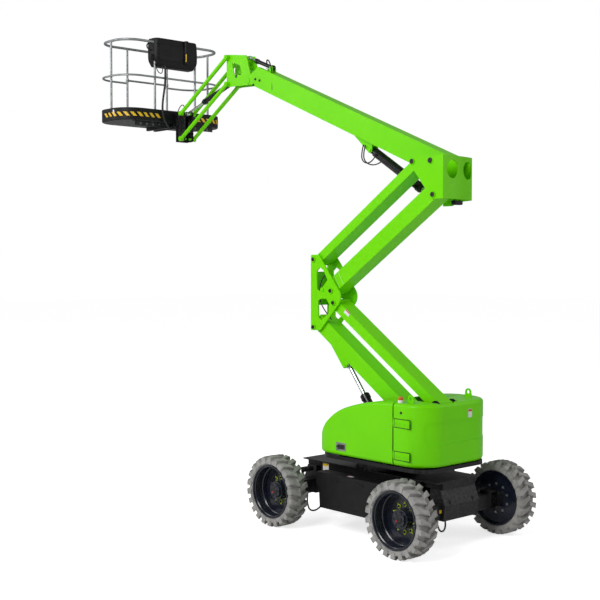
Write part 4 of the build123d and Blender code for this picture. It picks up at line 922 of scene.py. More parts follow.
# ------------------------------------------------------------------ wheels
@dataclass
class Wheel(Assembly):
    """One wheel: its lugged solid tyre, its rim's lips, and its nuts and hub cap."""

    corner: str = "front_left"
    tread_radius: float = 0.390
    base_radius: float = 0.352
    bead_radius: float = 0.2885
    half_width: float = 0.1215
    lugs: int = 22
    lug_width: float = 0.050
    lug_flare: float = 0.020
    lug_lean: float = 0.052
    lug_taper: float = 0.80
    lug_overlap: float = 0.006
    lug_root: float = 0.014
    crown_drop: float = 0.012
    crown_reach: float = 0.28
    root_drop: float = 0.030
    root_reach: float = 0.30
    disc_face: float = -0.062
    stud_back: float = 0.0155
    nuts: int = 10
    nut: Head = (0.0145, 0.015)
    nut_circle: float = 0.135
    stud_end: float = 0.026
    stud_nut: Head = (0.012, 0.010)
    stud_circle: float = 0.152
    hub_face: float = 0.038
    cap_screws: int = 6
    cap_screw: Head = (0.0085, 0.006)
    cap_circle: float = 0.066
    plug: Head = (0.0075, 0.005)
    plug_place: tuple[float, float] = (0.020, 0.016)

    def lug(self) -> bpy.types.Mesh:
        """One tread lug at the top of the wheel, leaning from the middle to the shoulder.

        Returns:
            The lug's mesh, with the wheel's axis along Z.
        """
        mesh = bmesh.new()
        bmesh.ops.create_cube(mesh, size=1.0)
        long = [e for e in mesh.edges if abs(e.verts[0].co.y - e.verts[1].co.y) > 0.5]
        bmesh.ops.subdivide_edges(mesh, edges=long, cuts=3, use_grid_fill=True)
        for vert in mesh.verts:
            along, top = vert.co.y + 0.5, vert.co.z > 0
            width = (self.lug_width + self.lug_flare * along) * (self.lug_taper if top else 1.0)
            shift = self.lug_lean * (1.0 - along) ** 1.2
            if top:
                radius = self.tread_radius - self.crown_drop * max(0.0, 1 - (1 - along) / self.crown_reach)
            else:
                drop = self.root_drop * max(0.0, 1 - (1 - along) / self.root_reach)
                radius = self.base_radius - self.lug_root - drop
            angle = (vert.co.x * width + shift) / self.tread_radius
            vert.co = Vector((radius * math.sin(angle), radius * math.cos(angle),
                              (self.half_width + self.lug_overlap) * along - self.lug_overlap))
        tops = [e for e in mesh.edges if len(e.link_faces) == 2 and e.calc_face_angle(0.0) > 0.7
                and all(v.co.xy.length > self.tread_radius - 0.02 for v in e.verts)]
        round_edges(mesh, tops, 0.005, 1)
        for vert in mesh.verts:
            vert.co.xy *= min(1.0, self.tread_radius / vert.co.xy.length)
            vert.co.z = min(vert.co.z, self.half_width)
        bmesh.ops.recalc_face_normals(mesh, faces=mesh.faces)
        return to_data(mesh, "lug")

    def tyre(self) -> None:
        """Makes the tyre: a spun carcass and two staggered rows of lugs."""
        mesh = bmesh.new()
        half, bead, base = self.half_width - 0.006, self.bead_radius, self.base_radius
        side = [(bead, 0.094), (bead + 0.006, 0.104), (bead + 0.020, half - 0.002), (bead + 0.038, half),
                (bead + 0.052, half - 0.003), (base - 0.006, half - 0.012), (base, half - 0.030),
                (base + 0.004, 0.0)]
        outline = side + [(radius, -height) for radius, height in reversed(side[:-1])]
        add_lathe(mesh, outline, Matrix.Identity(4), 72, closed=True)
        lug = self.lug()
        for index in range(self.lugs):
            for flip, lead in ((1.0, 0.0), (-1.0, 0.5)):
                turn = Matrix.Rotation((index + lead) * math.tau / self.lugs, 4, "Z")
                stamp(mesh, lug, turn @ Matrix.Diagonal((1, 1, flip, 1)))
        bpy.data.meshes.remove(lug)
        self.fit(mesh, "lugged_tyre", FINISHES[Slot.TYRE_RUBBER], Slot.TYRE_RUBBER, 40.0,
                 (f"tyre_{self.corner}",))

    def rim(self) -> None:
        """Makes the rim's rolled lip, the step of its bowl and the ridge round its disc."""
        mesh = bmesh.new()
        edge, disc = self.box(f"rim_{self.corner}").size.y / 2, self.disc_face
        lip = [(0.276, edge - 0.016), (0.285, edge - 0.004), (0.290, edge + 0.001), (0.2885, edge - 0.012)]
        step = [(0.262, edge - 0.050), (0.268, edge - 0.030), (0.276, edge - 0.024), (0.278, edge - 0.050)]
        ridge = [(0.196, disc - 0.004), (0.190, disc + 0.006), (0.178, disc + 0.006), (0.172, disc - 0.004)]
        for profile, steps in ((lip, 64), (step, 64), (ridge, 56)):
            add_lathe(mesh, profile, Matrix.Identity(4), steps, closed=True)
        self.fit(mesh, "rim_lips", LIP_PAINT)

    def nut_ring(self) -> None:
        """Makes the wheel nuts, the arrows that show whether one has turned, and the studs' backs."""
        backs, nuts, marks = bmesh.new(), bmesh.new(), bmesh.new()
        collar = [(0.0145, 0.0), (0.0215, 0.0), (0.0205, 0.008), (0.0150, 0.009)]
        for _, x, y in circle_points(self.nuts, self.stud_circle, 0.5):
            add_bolt(backs, seat((x, y, self.disc_face - self.stud_back), (0, 0, -1)), *self.stud_nut)
        for angle, x, y in circle_points(self.nuts, self.nut_circle, 0.5):
            place = Matrix.Translation((x, y, self.disc_face - 0.001))
            add_bolt(nuts, place, *self.nut)
            stud = (place @ Vector((0, 0, reach)) for reach in (self.nut[1], self.stud_end))
            add_rod(nuts, *stud, 0.0075, 0.0065, 10)
            ring = shifted(place, z=0.003) @ Matrix.Rotation(angle, 4, "Z")
            add_lathe(marks, collar, ring, 12, closed=True)
            add_plate(marks, [(0.019, -0.007), (0.037, 0.0), (0.019, 0.007)], 0.004, ring)
        self.fit(backs, "stud_backs", ZINC)
        self.fit(nuts, "wheel_nuts", DARK_STEEL)
        self.fit(marks, "nut_markers", NUT_MARK)

    def hub_cap(self) -> None:
        """Makes the hub's cap with its screws, and its red oil plug."""
        cap, plug, face = bmesh.new(), bmesh.new(), self.hub_face
        for _, x, y in circle_points(self.cap_screws, self.cap_circle):
            add_bolt(cap, Matrix.Translation((x, y, face)), *self.cap_screw)
        add_lathe(cap, [(0, face + 0.010), (0.036, face + 0.010), (0.042, face + 0.004),
                        (0.043, face - 0.002), (0, face - 0.002)], Matrix.Identity(4), 28)
        add_bolt(plug, Matrix.Translation((*self.plug_place, face + 0.009)), *self.plug)
        self.fit(cap, "hub_cap", DARK_STEEL)
        self.fit(plug, "oil_plug", RED_CAP)

    def fit(self, mesh: BMesh, name: str, finish: Finish, slot: Slot = Slot.RIM_PAINT, sharp: float = 32.0,
            replaces: Sequence[str] = ()) -> None:
        """Moves a mesh made round the Z axis to the wheel and delivers it.

        Args:
            mesh: the mesh.
            name: what it is, without the wheel's corner.
            finish: its finish.
            slot: the slot handed to deliver.
            sharp: the angle past which an edge stays sharp.
            replaces: the CAD nodes that it stands for.
        """
        outward = 1.0 if self.corner.endswith("left") else -1.0
        mesh.transform(seat(self.box(f"tyre_{self.corner}").middle, (0, outward, 0), (1, 0, 0)))
        self.shop.deliver(mesh, f"{self.corner}_{name}", f"wheel_{self.corner}", slot, finish, sharp,
                          replaces)

    def pieces(self) -> None:
        """Makes the whole wheel."""
        self.tyre()
        self.rim()
        self.nut_ring()
        self.hub_cap()


# ------------------------------------------------------------------ chassis
@dataclass
class Chassis(Assembly):
    """The frame's bolts, its covers' fittings, plates, reflectors, lugs and hoses."""

    ring_bolts: int = 28
    ring_bolt: Head = (0.010, 0.012)
    ring_margin: float = 0.004
    axle_bolts: int = 8
    axle_bolt: Head = (0.009, 0.008)
    axle_circle: float = 0.062
    axle_middle: tuple[float, float] = (-0.793, 0.390)
    axle_inset: float = 0.031
    screw: Head = (0.007, 0.004)
    screw_columns: tuple[float, ...] = (0.08, 0.36, 0.64, 0.92)
    screw_rows: tuple[float, ...] = (0.12, 0.88)
    grip_columns: tuple[float, ...] = (0.30, 0.70)
    grip: tuple[tuple[Point3, float], ...] = (((0.110, 0.034, 0.010), 0.004), ((0.086, 0.012, 0.016), 0.003))
    cover_plate_x: float = -1.700
    frame_plate: Point3 = (-1.060, 0.3225, 0.610)
    reflectors: tuple[float, ...] = (0.300, -0.255)
    reflector_height: float = 0.400
    lugs: tuple[float, ...] = (0.20, -0.155)
    lug_height: float = 0.480
    bracket: tuple[tuple[Point3, Point3, float], ...] = (
        ((0.060, 0.140, 0.050), (-0.860, 0.420, 0.590), 0.005),
        ((0.040, 0.010, 0.110), (-0.850, 0.480, 0.560), 0.003))
    hoses: tuple[Hose, ...] = (
        Hose("front_loop_hose", "chassis", 0.009, (
            (-0.860, 0.120, 0.345), (-0.850, 0.125, 0.250), (-0.820, 0.170, 0.120), (-0.780, 0.230, 0.070),
            (-0.760, 0.300, 0.090), (-0.770, 0.340, 0.190), (-0.790, 0.350, 0.300), (-0.795, 0.340, 0.345))),
        Hose("front_short_hose", "chassis", 0.008, (
            (-0.880, 0.020, 0.340), (-0.880, 0.020, 0.270), (-0.870, 0.070, 0.190), (-0.860, 0.130, 0.190),
            (-0.850, 0.170, 0.270), (-0.850, 0.175, 0.340))),
        Hose("rear_loop_hose", "chassis", 0.009, (
            (-2.700, 0.220, 0.345), (-2.715, 0.215, 0.270), (-2.725, 0.240, 0.205), (-2.725, 0.300, 0.190),
            (-2.715, 0.340, 0.250), (-2.690, 0.335, 0.350))))

    def bolts(self) -> None:
        """Makes the slewing ring's bolts and the front axle's flange bolts."""
        mesh = bmesh.new()
        ring, axle = self.box("slew_ring"), self.box("front_axle")
        for _, x, y in circle_points(self.ring_bolts, ring.size.x / 2 + self.ring_margin):
            spot = (ring.middle.x + x, ring.middle.y + y, ring.low.z)
            add_bolt(mesh, seat(spot, (0, 0, 1)), *self.ring_bolt)
        for side, _ in SIDES:
            for _, x, z in circle_points(self.axle_bolts, self.axle_circle):
                spot = (self.axle_middle[0] + x, axle.face(side) - side * self.axle_inset,
                        self.axle_middle[1] + z)
                add_bolt(mesh, seat(spot, (0, side, 0)), *self.axle_bolt)
        self.shop.deliver(mesh, "frame_bolts", "chassis", Slot.DARK_PAINT, DARK_STEEL)

    def covers(self) -> None:
        """Makes the side covers' screws and grips, and the plate on top of the left one."""
        mesh = bmesh.new()
        for side, name in SIDES:
            box = self.box(f"side_cover_{name}")
            low, size, face = box.low, box.size, box.face(side)
            for column in self.screw_columns:
                for row in self.screw_rows:
                    spot = (low.x + size.x * column, face - side * 0.001, low.z + size.z * row)
                    add_bolt(mesh, seat(spot, (0, side, 0)), *self.screw)
            for column in self.grip_columns:
                spot = (low.x + size.x * column, face + side * 0.002, box.high.z - 0.060)
                for block, edge in self.grip:
                    add_block(mesh, block, seat(spot, (0, side, 0), (1, 0, 0)), edge)
        self.shop.deliver(mesh, "side_cover_fittings", "chassis", Slot.BLACK_PLASTIC)
        box = self.box("side_cover_left")
        place = seat((self.cover_plate_x, box.middle.y + 0.02, box.high.z), (0, 0, 1), (1, 0, 0))
        self.blank_plate("cover_plate", place, (0.075, 0.040), "chassis", Slot.BLACK_PLASTIC, PLATE_RED)

    def signs(self) -> None:
        """Makes the frame's blank plate and the rear reflectors."""
        self.blank_plate("frame_plate", seat(self.frame_plate, (0, 1, 0), (-1, 0, 0)), (0.095, 0.115),
                         "chassis", Slot.DARK_PAINT, PLATE_YELLOW)
        mesh, rear = bmesh.new(), self.box("chassis_frame").low.x
        for across in self.reflectors:
            place = seat((rear - 0.002, across, self.reflector_height), (-1, 0, 0), (0, 0, 1))
            add_block(mesh, (0.034, 0.050, 0.006), place)
        self.shop.deliver(mesh, "rear_reflectors", "chassis", Slot.DARK_PAINT, PLATE_YELLOW)

    def towing(self) -> None:
        """Makes the towing lugs at both ends and the bracket beside the front wheel."""
        mesh, box = bmesh.new(), self.box("chassis_frame")
        for across in self.lugs:
            for x in (box.high.x + 0.012, box.low.x - 0.012):
                add_torus(mesh, 0.030, 0.009, seat((x, across, self.lug_height), (0, 1, 0), (0, 0, 1)), 8, 24)
        for size, spot, edge in self.bracket:
            add_block(mesh, size, seat(spot, (0, 0, 1), (1, 0, 0)), edge)
        self.shop.deliver(mesh, "frame_lugs", "chassis", Slot.DARK_PAINT, DARK_STEEL)

    def pieces(self) -> None:
        """Makes the frame's pieces."""
        self.bolts()
        self.covers()
        self.signs()
        self.towing()


# ------------------------------------------------------------------ hood
@dataclass
class Hood(Assembly):
    """The hood's hinges, latches, lock, beacon and small plate."""

    middle: float = 0.0225
    half_width: float = 0.5605
    strap: Point3 = (0.204, 0.080, 0.010)
    # A black plate a little larger than each strap: painted shade round the strap's edges.
    shade_outline: Point3 = (0.222, 0.096, 0.0024)
    strap_x: float = -2.450
    strap_levels: tuple[float, ...] = (1.286, 0.955)
    strap_bolts: tuple[float, ...] = (-0.080, -0.035, 0.030, 0.078)
    strap_bolt: Head = (0.008, 0.004)
    # A black strip sunk behind the gap at the door's edge: painted shade inside the gap.
    seam_shade: Point3 = (0.020, 0.235, 0.005)
    seam_shade_place: tuple[float, float] = (-2.325, 1.120)
    latch: Point3 = (0.150, 0.090, 0.008)
    latch_place: tuple[float, float] = (-1.570, 0.945)
    latch_spread: tuple[float, float] = (0.066, 0.036)
    latch_screw: Head = (0.005, 0.002)
    paddle: Point3 = (0.104, 0.050, 0.010)
    key: float = 0.050
    lock: Point3 = (-2.435, 0.5825, 1.395)
    plate: Point3 = (-2.7408, -0.130, 1.360)
    lens_ribs: int = 4

    def on_side(self, side: float, x: float, z: float) -> Matrix:
        """A frame just inside the hood's left or right face, with Z outwards and X forwards."""
        return seat((x, self.middle + side * (self.half_width - 0.001), z), (0, side, 0), (1, 0, 0))

    def hinges(self) -> None:
        """Makes the strap hinges on black plates of painted shade round their edges, and a black strip of
        painted shade sunk behind the door's gap between them, on both sides.
        """
        shade_outlines, straps, seam_shades = bmesh.new(), bmesh.new(), bmesh.new()
        for side, _ in SIDES:
            for level in self.strap_levels:
                place = self.on_side(side, self.strap_x, level)
                # Painted shade: a black plate just larger than the strap, under it.
                add_block(shade_outlines, self.shade_outline, place, 0.0010, 1)
                add_block(straps, self.strap, place, 0.003)
                for across in self.strap_bolts:
                    add_bolt(straps, shifted(place, across, z=0.004), *self.strap_bolt)
            # Painted shade: a black strip sunk behind the door's gap.
            add_block(seam_shades, self.seam_shade, shifted(self.on_side(side, *self.seam_shade_place), z=-0.005), 0.001)
        self.shop.deliver(shade_outlines, "hood_hinge_shade_outlines", "superstructure", Slot.BLACK_PLASTIC)
        self.shop.deliver(straps, "hood_hinge_straps", "superstructure", Slot.GREEN_PAINT)
        self.shop.deliver(seam_shades, "hood_seam_shade_strips", "superstructure", Slot.BLACK_PLASTIC)

    def latches(self) -> None:
        """Makes each door's latch: a screwed plate, a paddle and a key lock."""
        key = [(0, 0.010), (0.004, 0.010), (0.005, 0.012), (0.010, 0.012), (0.011, 0.009), (0.011, 0.0),
               (0, 0.0)]
        wide, tall = self.latch_spread
        for side, name in SIDES:
            plate, paddle, place = bmesh.new(), bmesh.new(), self.on_side(side, *self.latch_place)
            add_block(plate, self.latch, place, 0.004)
            for across, rise in ((-wide, -tall), (-wide, tall), (wide, -tall), (wide, tall)):
                add_bolt(plate, shifted(place, across, rise, 0.003), *self.latch_screw)
            add_block(paddle, self.paddle, shifted(place, -0.008, z=0.004), 0.004)
            add_lathe(paddle, key, shifted(place, self.key, z=0.004), 20)
            self.shop.deliver(plate, f"{name}_latch_plate", f"door_{name}", Slot.GALVANISED, ZINC)
            self.shop.deliver(paddle, f"{name}_latch_paddle", f"door_{name}", Slot.DARK_PAINT, DARK_STEEL)

    def rear(self) -> None:
        """Makes the round lock and the blank plate on the rear hood."""
        mesh = bmesh.new()
        add_lathe(mesh, [(0, 0.006), (0.005, 0.006), (0.006, 0.004), (0.012, 0.005), (0.014, 0.002),
                         (0.014, -0.003), (0, -0.003)], seat(self.lock, (0, 1, 0)), 24)
        self.shop.deliver(mesh, "hood_lock", "superstructure", Slot.DARK_PAINT, DARK_STEEL)
        self.blank_plate("hood_plate", seat(self.plate, (-1, 0, 0), (0, -1, 0)), (0.060, 0.085),
                         "superstructure", Slot.GREEN_MOULDING, PLATE_RED)

    def beacon(self) -> None:
        """Makes the beacon's white foot and the ribs of its lens."""
        box, foot, ribs = self.box("beacon"), bmesh.new(), bmesh.new()
        radius, tall = box.size.x / 2, box.size.z
        axis = seat((box.middle.x, box.middle.y, box.low.z), (0, 0, 1))
        add_lathe(foot, [(0, 0.0), (radius + 0.004, 0.0), (radius + 0.004, 0.010),
                         (radius + 0.001, tall * 0.42), (radius - 0.004, tall * 0.46), (0, tall * 0.46)],
                  axis, 32)
        for index in range(self.lens_ribs):
            add_torus(ribs, radius - 0.0005, 0.0012, shifted(axis, z=tall * (0.55 + 0.11 * index)), 6, 32)
        self.shop.deliver(foot, "beacon_foot", "superstructure", Slot.BEACON_LENS, PLATE_WHITE)
        self.shop.deliver(ribs, "beacon_ribs", "superstructure", Slot.BEACON_LENS)

    def pieces(self) -> None:
        """Makes the hood's pieces."""
        self.hinges()
        self.latches()
        self.rear()
        self.beacon()


# ------------------------------------------------------------------ riser
@dataclass
class Riser(Assembly):
    """Pin heads, welds, the buffer, a plate and the hoses of the parallelogram riser."""

    knuckle_cap: Head = (0.022, 0.010)
    spare_cap: Head = (0.013, 0.008)
    spare_pin: tuple[float, float] = (-0.948, 2.600)
    head_cap: Head = (0.026, 0.008)
    weld_radius: float = 0.0032
    weld_runs: tuple[float, ...] = (0.110, 0.180)
    weld_span: tuple[float, float] = (-0.034, 0.132)
    buffer_size: Point3 = (0.130, 0.060, 0.046)
    buffer_place: Point3 = (-2.640, -0.025, 3.520)
    buffer_bolts: tuple[float, ...] = (-0.045, 0.045)
    buffer_bolt: Head = (0.008, 0.006)
    tie_plate: Point3 = (-1.296, 0.2275, 2.352)
    hoses: tuple[Hose, ...] = tuple(
        Hose(f"knuckle_hose_{number}", "knuckle", 0.0065, tuple(
            (x, across, z) for x, z in ((-1.060, 2.270), (-0.965, 2.350), (-0.880, 2.450), (-0.862, 2.560),
                                        (-0.880, 2.680), (-0.945, 2.760), (-1.030, 2.800))))
        for number, across in ((1, 0.0175), (2, 0.2375)))

    def pins(self) -> None:
        """Makes the dark socketed pin heads on the knuckle and on the boom's head, on both sides."""
        pin, lower, upper = self.pin, bmesh.new(), bmesh.new()
        tie_low = pin("riser_tie_turn") + pin("knuckle_level") - pin("riser_lift")
        tie_high = pin("riser_upper_tie_turn") + pin("boom_head_level") - pin("riser_upper_turn")
        knuckle, head = self.box("knuckle"), self.box("boom_head")
        for side, _ in SIDES:
            for spot in (pin("knuckle_level"), tie_low, pin("riser_upper_tie_turn"), pin("riser_upper_turn")):
                spot.y = knuckle.face(side) - side * 0.001
                add_pin_cap(lower, seat(spot, (0, side, 0)), *self.knuckle_cap)
            spare = (self.spare_pin[0], knuckle.face(side) - side * 0.012, self.spare_pin[1])
            add_pin_cap(lower, seat(spare, (0, side, 0)), *self.spare_cap)
            for spot in (tie_high, pin("boom_head_level"), pin("boom_luff")):
                spot.y = head.face(side) - side * 0.002
                add_pin_cap(upper, seat(spot, (0, side, 0)), *self.head_cap)
        self.shop.deliver(lower, "knuckle_pin_heads", "knuckle", Slot.DARK_PAINT, DARK_STEEL)
        self.shop.deliver(upper, "head_pin_heads", "boom_head", Slot.DARK_PAINT, DARK_STEEL)

    def welds(self) -> None:
        """Makes the two weld beads across the upper boom's lower end, on both sides, coloured pale as a
        painted highlight along the plate edges.
        """
        mesh, box, foot = bmesh.new(), self.box("riser_upper_boom"), self.pin("riser_upper_turn")
        line = (self.pin("boom_head_level") - foot).normalized()
        across = Vector((line.z, 0, -line.x))
        for face in (box.low.y, box.high.y):
            for run in self.weld_runs:
                spot = foot + line * run + Vector((0, face, 0))
                start, end = (spot + across * reach for reach in self.weld_span)
                add_rod(mesh, start, end, self.weld_radius, None, 8)
        self.shop.deliver(mesh, "upper_boom_welds", "riser_upper", Slot.GREEN_PAINT, WELD_HIGHLIGHT)

    def buffer(self) -> None:
        """Makes the rubber buffer under the head's rear edge."""
        mesh, place = bmesh.new(), seat(self.buffer_place, (0, 0, 1), (0, 1, 0))
        add_block(mesh, self.buffer_size, place, 0.014, 3)
        for across in self.buffer_bolts:
            add_bolt(mesh, shifted(place, across, z=0.021), *self.buffer_bolt)
        self.shop.deliver(mesh, "head_buffer", "boom_head", Slot.BLACK_PLASTIC)

    def pieces(self) -> None:
        """Makes the riser's pieces."""
        self.pins()
        self.welds()
        self.buffer()
        line = self.pin("riser_lift") - self.pin("knuckle_level")
        self.blank_plate("tie_plate", seat(self.tie_plate, (0, 1, 0), line), (0.085, 0.052),
                         "riser_lower_tie", Slot.GREEN_PAINT, PLATE_RED)


# ------------------------------------------------------------------ cylinders
@dataclass(frozen=True)
class Ram:
    """A cylinder's barrel: its length and radius, and whether there is room for ports and a pipe."""

    name: str
    barrel: float
    radius: float
    piped: bool = True


@dataclass
class Rams(Assembly):
    """Glands, ports and pipes of the hydraulic cylinders."""

    rams: tuple[Ram, ...] = (
        Ram("riser", 0.715, 0.048), Ram("luff", 0.849, 0.050), Ram("jib", 0.800, 0.032),
        Ram("level", 0.300, 0.024, piped=False))
    gland_length: float = 0.036
    port_bolt: Head = (0.012, 0.009)
    port_rise: float = 0.020
    gland_port: float = 0.060
    foot_port: float = 0.110

    def gland(self, ram: Ram) -> None:
        """Makes the collar at a barrel's open end and, where there is room, two ports and their pipe.

        Args:
            ram: the cylinder.
        """
        line = Vector(self.joints[f"{ram.name}_rod_slide"]["axis"]).normalized()
        foot = Vector(self.joints[f"{ram.name}_barrel_tilt"]["pos_m"])
        axis, radius, mesh = seat(foot + line * ram.barrel, line, (0, 1, 0)), ram.radius, bmesh.new()
        add_lathe(mesh, [(radius * 0.62, 0.004), (radius * 0.66, 0.010), (radius * 0.86, 0.012),
                         (radius * 1.06, 0.004), (radius * 1.08, 0.006 - self.gland_length),
                         (radius, -self.gland_length), (radius * 0.62, -self.gland_length)],
                  axis, 32, closed=True)
        if ram.piped:
            top = Vector((radius + self.port_rise, 0, 0))
            ports = [shifted(axis, z=-self.gland_port), shifted(axis, z=self.foot_port - ram.barrel)]
            for place in ports:
                add_rod(mesh, place @ Vector((radius * 0.9, 0, 0)), place @ top, 0.012, 0.011, 16, 0.002)
                add_bolt(mesh, place @ seat((top.x - 0.002, 0, 0), (1, 0, 0)), *self.port_bolt)
            add_rod(mesh, ports[0] @ top, ports[1] @ top, 0.005, None, 12)
        self.shop.deliver(mesh, f"{ram.name}_cylinder_gland", f"{ram.name}_barrel", Slot.BLACK_CYLINDER,
                          DARK_STEEL)

    def pieces(self) -> None:
        """Makes the fittings of every cylinder."""
        for ram in self.rams:
            self.gland(ram)


# ------------------------------------------------------------------ boom
@dataclass
class Boom(Assembly):
    """The boom's end bolts, the nose's pin heads, and the cylinders' short hoses."""

    end_bolts: tuple[tuple[float, float], ...] = ((0.560, 5.150), (0.480, 5.125), (0.600, 5.085))
    end_bolt: Head = (0.011, 0.007)
    nose_cap: Head = (0.020, 0.008)
    nose_pins: tuple[str, ...] = ("nose_level", "jib_barrel_tilt", "jib_lift", "jib_lower_turn")
    hoses: tuple[Hose, ...] = (
        Hose("level_hose", "boom", 0.008, (
            (0.420, -0.080, 5.330), (0.395, -0.050, 5.372), (0.330, -0.040, 5.350), (0.280, -0.034, 5.240),
            (0.255, -0.026, 5.120), (0.250, -0.020, 4.985))),
        Hose("luff_hose", "boom", 0.007, (
            (-1.452, -0.062, 4.090), (-1.430, -0.040, 4.030), (-1.350, -0.025, 3.995),
            (-1.275, -0.020, 4.040), (-1.262, -0.030, 4.130), (-1.275, -0.045, 4.215))),
        Hose("luff_return_hose", "boom", 0.007, (
            (-1.560, -0.060, 4.020), (-1.520, -0.035, 3.985), (-1.420, -0.020, 3.975),
            (-1.330, -0.010, 4.020), (-1.300, -0.015, 4.110), (-1.310, -0.040, 4.205))))

    def pieces(self) -> None:
        """Makes the bolts at the boom's far end and the pin heads on its nose."""
        bolts, pins, boom, nose = bmesh.new(), bmesh.new(), self.box("upper_boom"), self.box("nose")
        for x, z in self.end_bolts:
            for side, _ in SIDES:
                add_bolt(bolts, seat((x, boom.face(side), z), (0, side, 0)), *self.end_bolt)
        for spot in map(self.pin, self.nose_pins):
            for side, _ in SIDES:
                spot.y = nose.face(side) - side * 0.004
                add_pin_cap(pins, seat(spot, (0, side, 0)), *self.nose_cap)
        self.shop.deliver(bolts, "boom_end_bolts", "boom", Slot.DARK_PAINT, DARK_STEEL)
        self.shop.deliver(pins, "nose_pin_heads", "nose", Slot.DARK_PAINT, DARK_STEEL)


# ------------------------------------------------------------------ platform
@dataclass
class Cage(Assembly):
    """The platform's hazard band, clamps, floor bolts and tread."""

    stripe_low: float = 4.818
    stripe_high: float = 4.872
    stripe_width: float = 0.046
    stripe_lean: float = 0.9
    pitch: float = 0.092
    corner: float = 0.300
    stripe_runs: tuple[tuple[float, int], ...] = ((-0.60, 10), (0.890, 7))
    plate_run: float = -0.43
    upright_inset: float = 0.018
    uprights: tuple[float, ...] = (-0.612, -0.282, 0.048, 0.378)
    clamp_drop: float = 0.040
    clamp: Point3 = (0.044, 0.070, 0.030)
    clamp_bolts: tuple[float, ...] = (-0.022, 0.022)
    clamp_bolt: Head = (0.008, 0.005)
    floor_bolt_rows: tuple[float, ...] = (-0.68, -0.48, -0.28, 0.10, 0.30, 0.50)
    floor_bolt: Head = (0.010, 0.007)
    tread_bar: Point3 = (0.030, 0.007, 0.003)
    tread_rows: int = 15
    tread_columns: int = 34
    tread_edge: float = 0.055
    tread_corner: float = 0.28

    def on_board(self, run: float) -> Matrix:
        """A frame on the toe board's outer face.

        Args:
            run: how far along the face that looks at the boom, from its left corner's end;
                less than 0 is round the corner.

        Returns:
            The frame, with Z outwards and X along the board.
        """
        box, corner = self.box("toe_board"), self.corner
        height, quarter = (self.stripe_low + self.stripe_high) / 2, corner * math.pi / 2
        left, right = box.high.y - corner, box.low.y + corner
        if run < -quarter:
            return seat((box.low.x + corner - run - quarter, box.high.y, height), (0, 1, 0), (-1, 0, 0))
        if 0 <= run <= left - right:
            return seat((box.low.x, left - run, height), (-1, 0, 0), (0, -1, 0))
        side, turn, across = (1.0, -run, left) if run < 0 else (-1.0, run - (left - right), right)
        out = Vector((-math.cos(turn / corner), side * math.sin(turn / corner), 0))
        return seat(Vector((box.low.x + corner, across, height)) + out * corner, out, (-out.y, out.x, 0))

    def hazard_band(self) -> None:
        """Makes the yellow slanted stripes along the toe board, and the blank plate on it."""
        stripes, plate = bmesh.new(), bmesh.new()
        half, rise = self.stripe_width / 2, (self.stripe_high - self.stripe_low) / 2
        lean = rise * self.stripe_lean
        outline = [(-half + lean, -rise), (half + lean, -rise), (half - lean, rise), (-half - lean, rise)]
        for first, count in self.stripe_runs:
            for index in range(count):
                place = self.on_board(first + self.pitch * index)
                add_plate(stripes, outline, 0.0022, shifted(place, z=-0.0010))
        self.shop.deliver(stripes, "hazard_stripes", "cage", Slot.BLACK_PLASTIC, HAZARD_YELLOW)
        add_plate(plate, [(-0.014, -0.024), (0.014, -0.024), (0.014, 0.024), (-0.014, 0.024)], 0.002,
                  shifted(self.on_board(self.plate_run), y=0.034, z=-0.0005), 0.0004)
        self.shop.deliver(plate, "toe_board_plate", "cage", Slot.BLACK_PLASTIC, PLATE_WHITE)

    def clamps(self) -> None:
        """Makes the clamps that hold each upright to the toe board."""
        mesh, rails = bmesh.new(), self.box("cage_rails")
        height = self.box("toe_board").high.z - self.clamp_drop
        for x, out in ((rails.low.x + self.upright_inset, -1.0), (rails.high.x - self.upright_inset, 1.0)):
            for y in self.uprights:
                place = seat((x - out * 0.004, y, height), (out, 0, 0), (0, 1, 0))
                add_block(mesh, self.clamp, place, 0.004)
                for rise in self.clamp_bolts:
                    add_bolt(mesh, seat((x + out * 0.010, y, height + rise), (out, 0, 0)), *self.clamp_bolt)
        self.shop.deliver(mesh, "upright_clamps", "cage", Slot.GALVANISED)

    def underside(self) -> None:
        """Makes the bolts below the platform floor."""
        mesh, box = bmesh.new(), self.box("cage_floor")
        for y in self.floor_bolt_rows:
            for x in (box.low.x + 0.10, box.middle.x, box.high.x - 0.10):
                add_bolt(mesh, seat((x, y, box.low.z), (0, 0, -1)), *self.floor_bolt)
        self.shop.deliver(mesh, "floor_bolts", "cage", Slot.GALVANISED, ZINC)

    def tread(self) -> None:
        """Makes the raised bars of the floor's tread plate, except in its cut corners."""
        mesh, bar, box = bmesh.new(), bmesh.new(), self.box("cage_floor")
        low, high, edge = box.low, box.high, self.tread_edge
        add_block(bar, self.tread_bar, Matrix.Identity(4), 0.0014, 1)
        data = to_data(bar, "tread_bar")
        for row in range(self.tread_rows):
            for column in range(self.tread_columns):
                x = low.x + edge + (box.size.x - 2 * edge) * row / (self.tread_rows - 1)
                y = low.y + edge + (box.size.y - 2 * edge) * column / (self.tread_columns - 1)
                if min(x - low.x, high.x - x) + min(y - low.y, high.y - y) >= self.tread_corner:
                    turn = Matrix.Rotation(math.radians(45 if (row + column) % 2 else -45), 4, "Z")
                    stamp(mesh, data, Matrix.Translation((x, y, high.z + 0.0008)) @ turn)
        bpy.data.meshes.remove(data)
        self.shop.deliver(mesh, "floor_tread", "cage", Slot.GALVANISED)

    def pieces(self) -> None:
        """Makes the platform's pieces."""
        self.hazard_band()
        self.clamps()
        self.underside()
        self.tread()


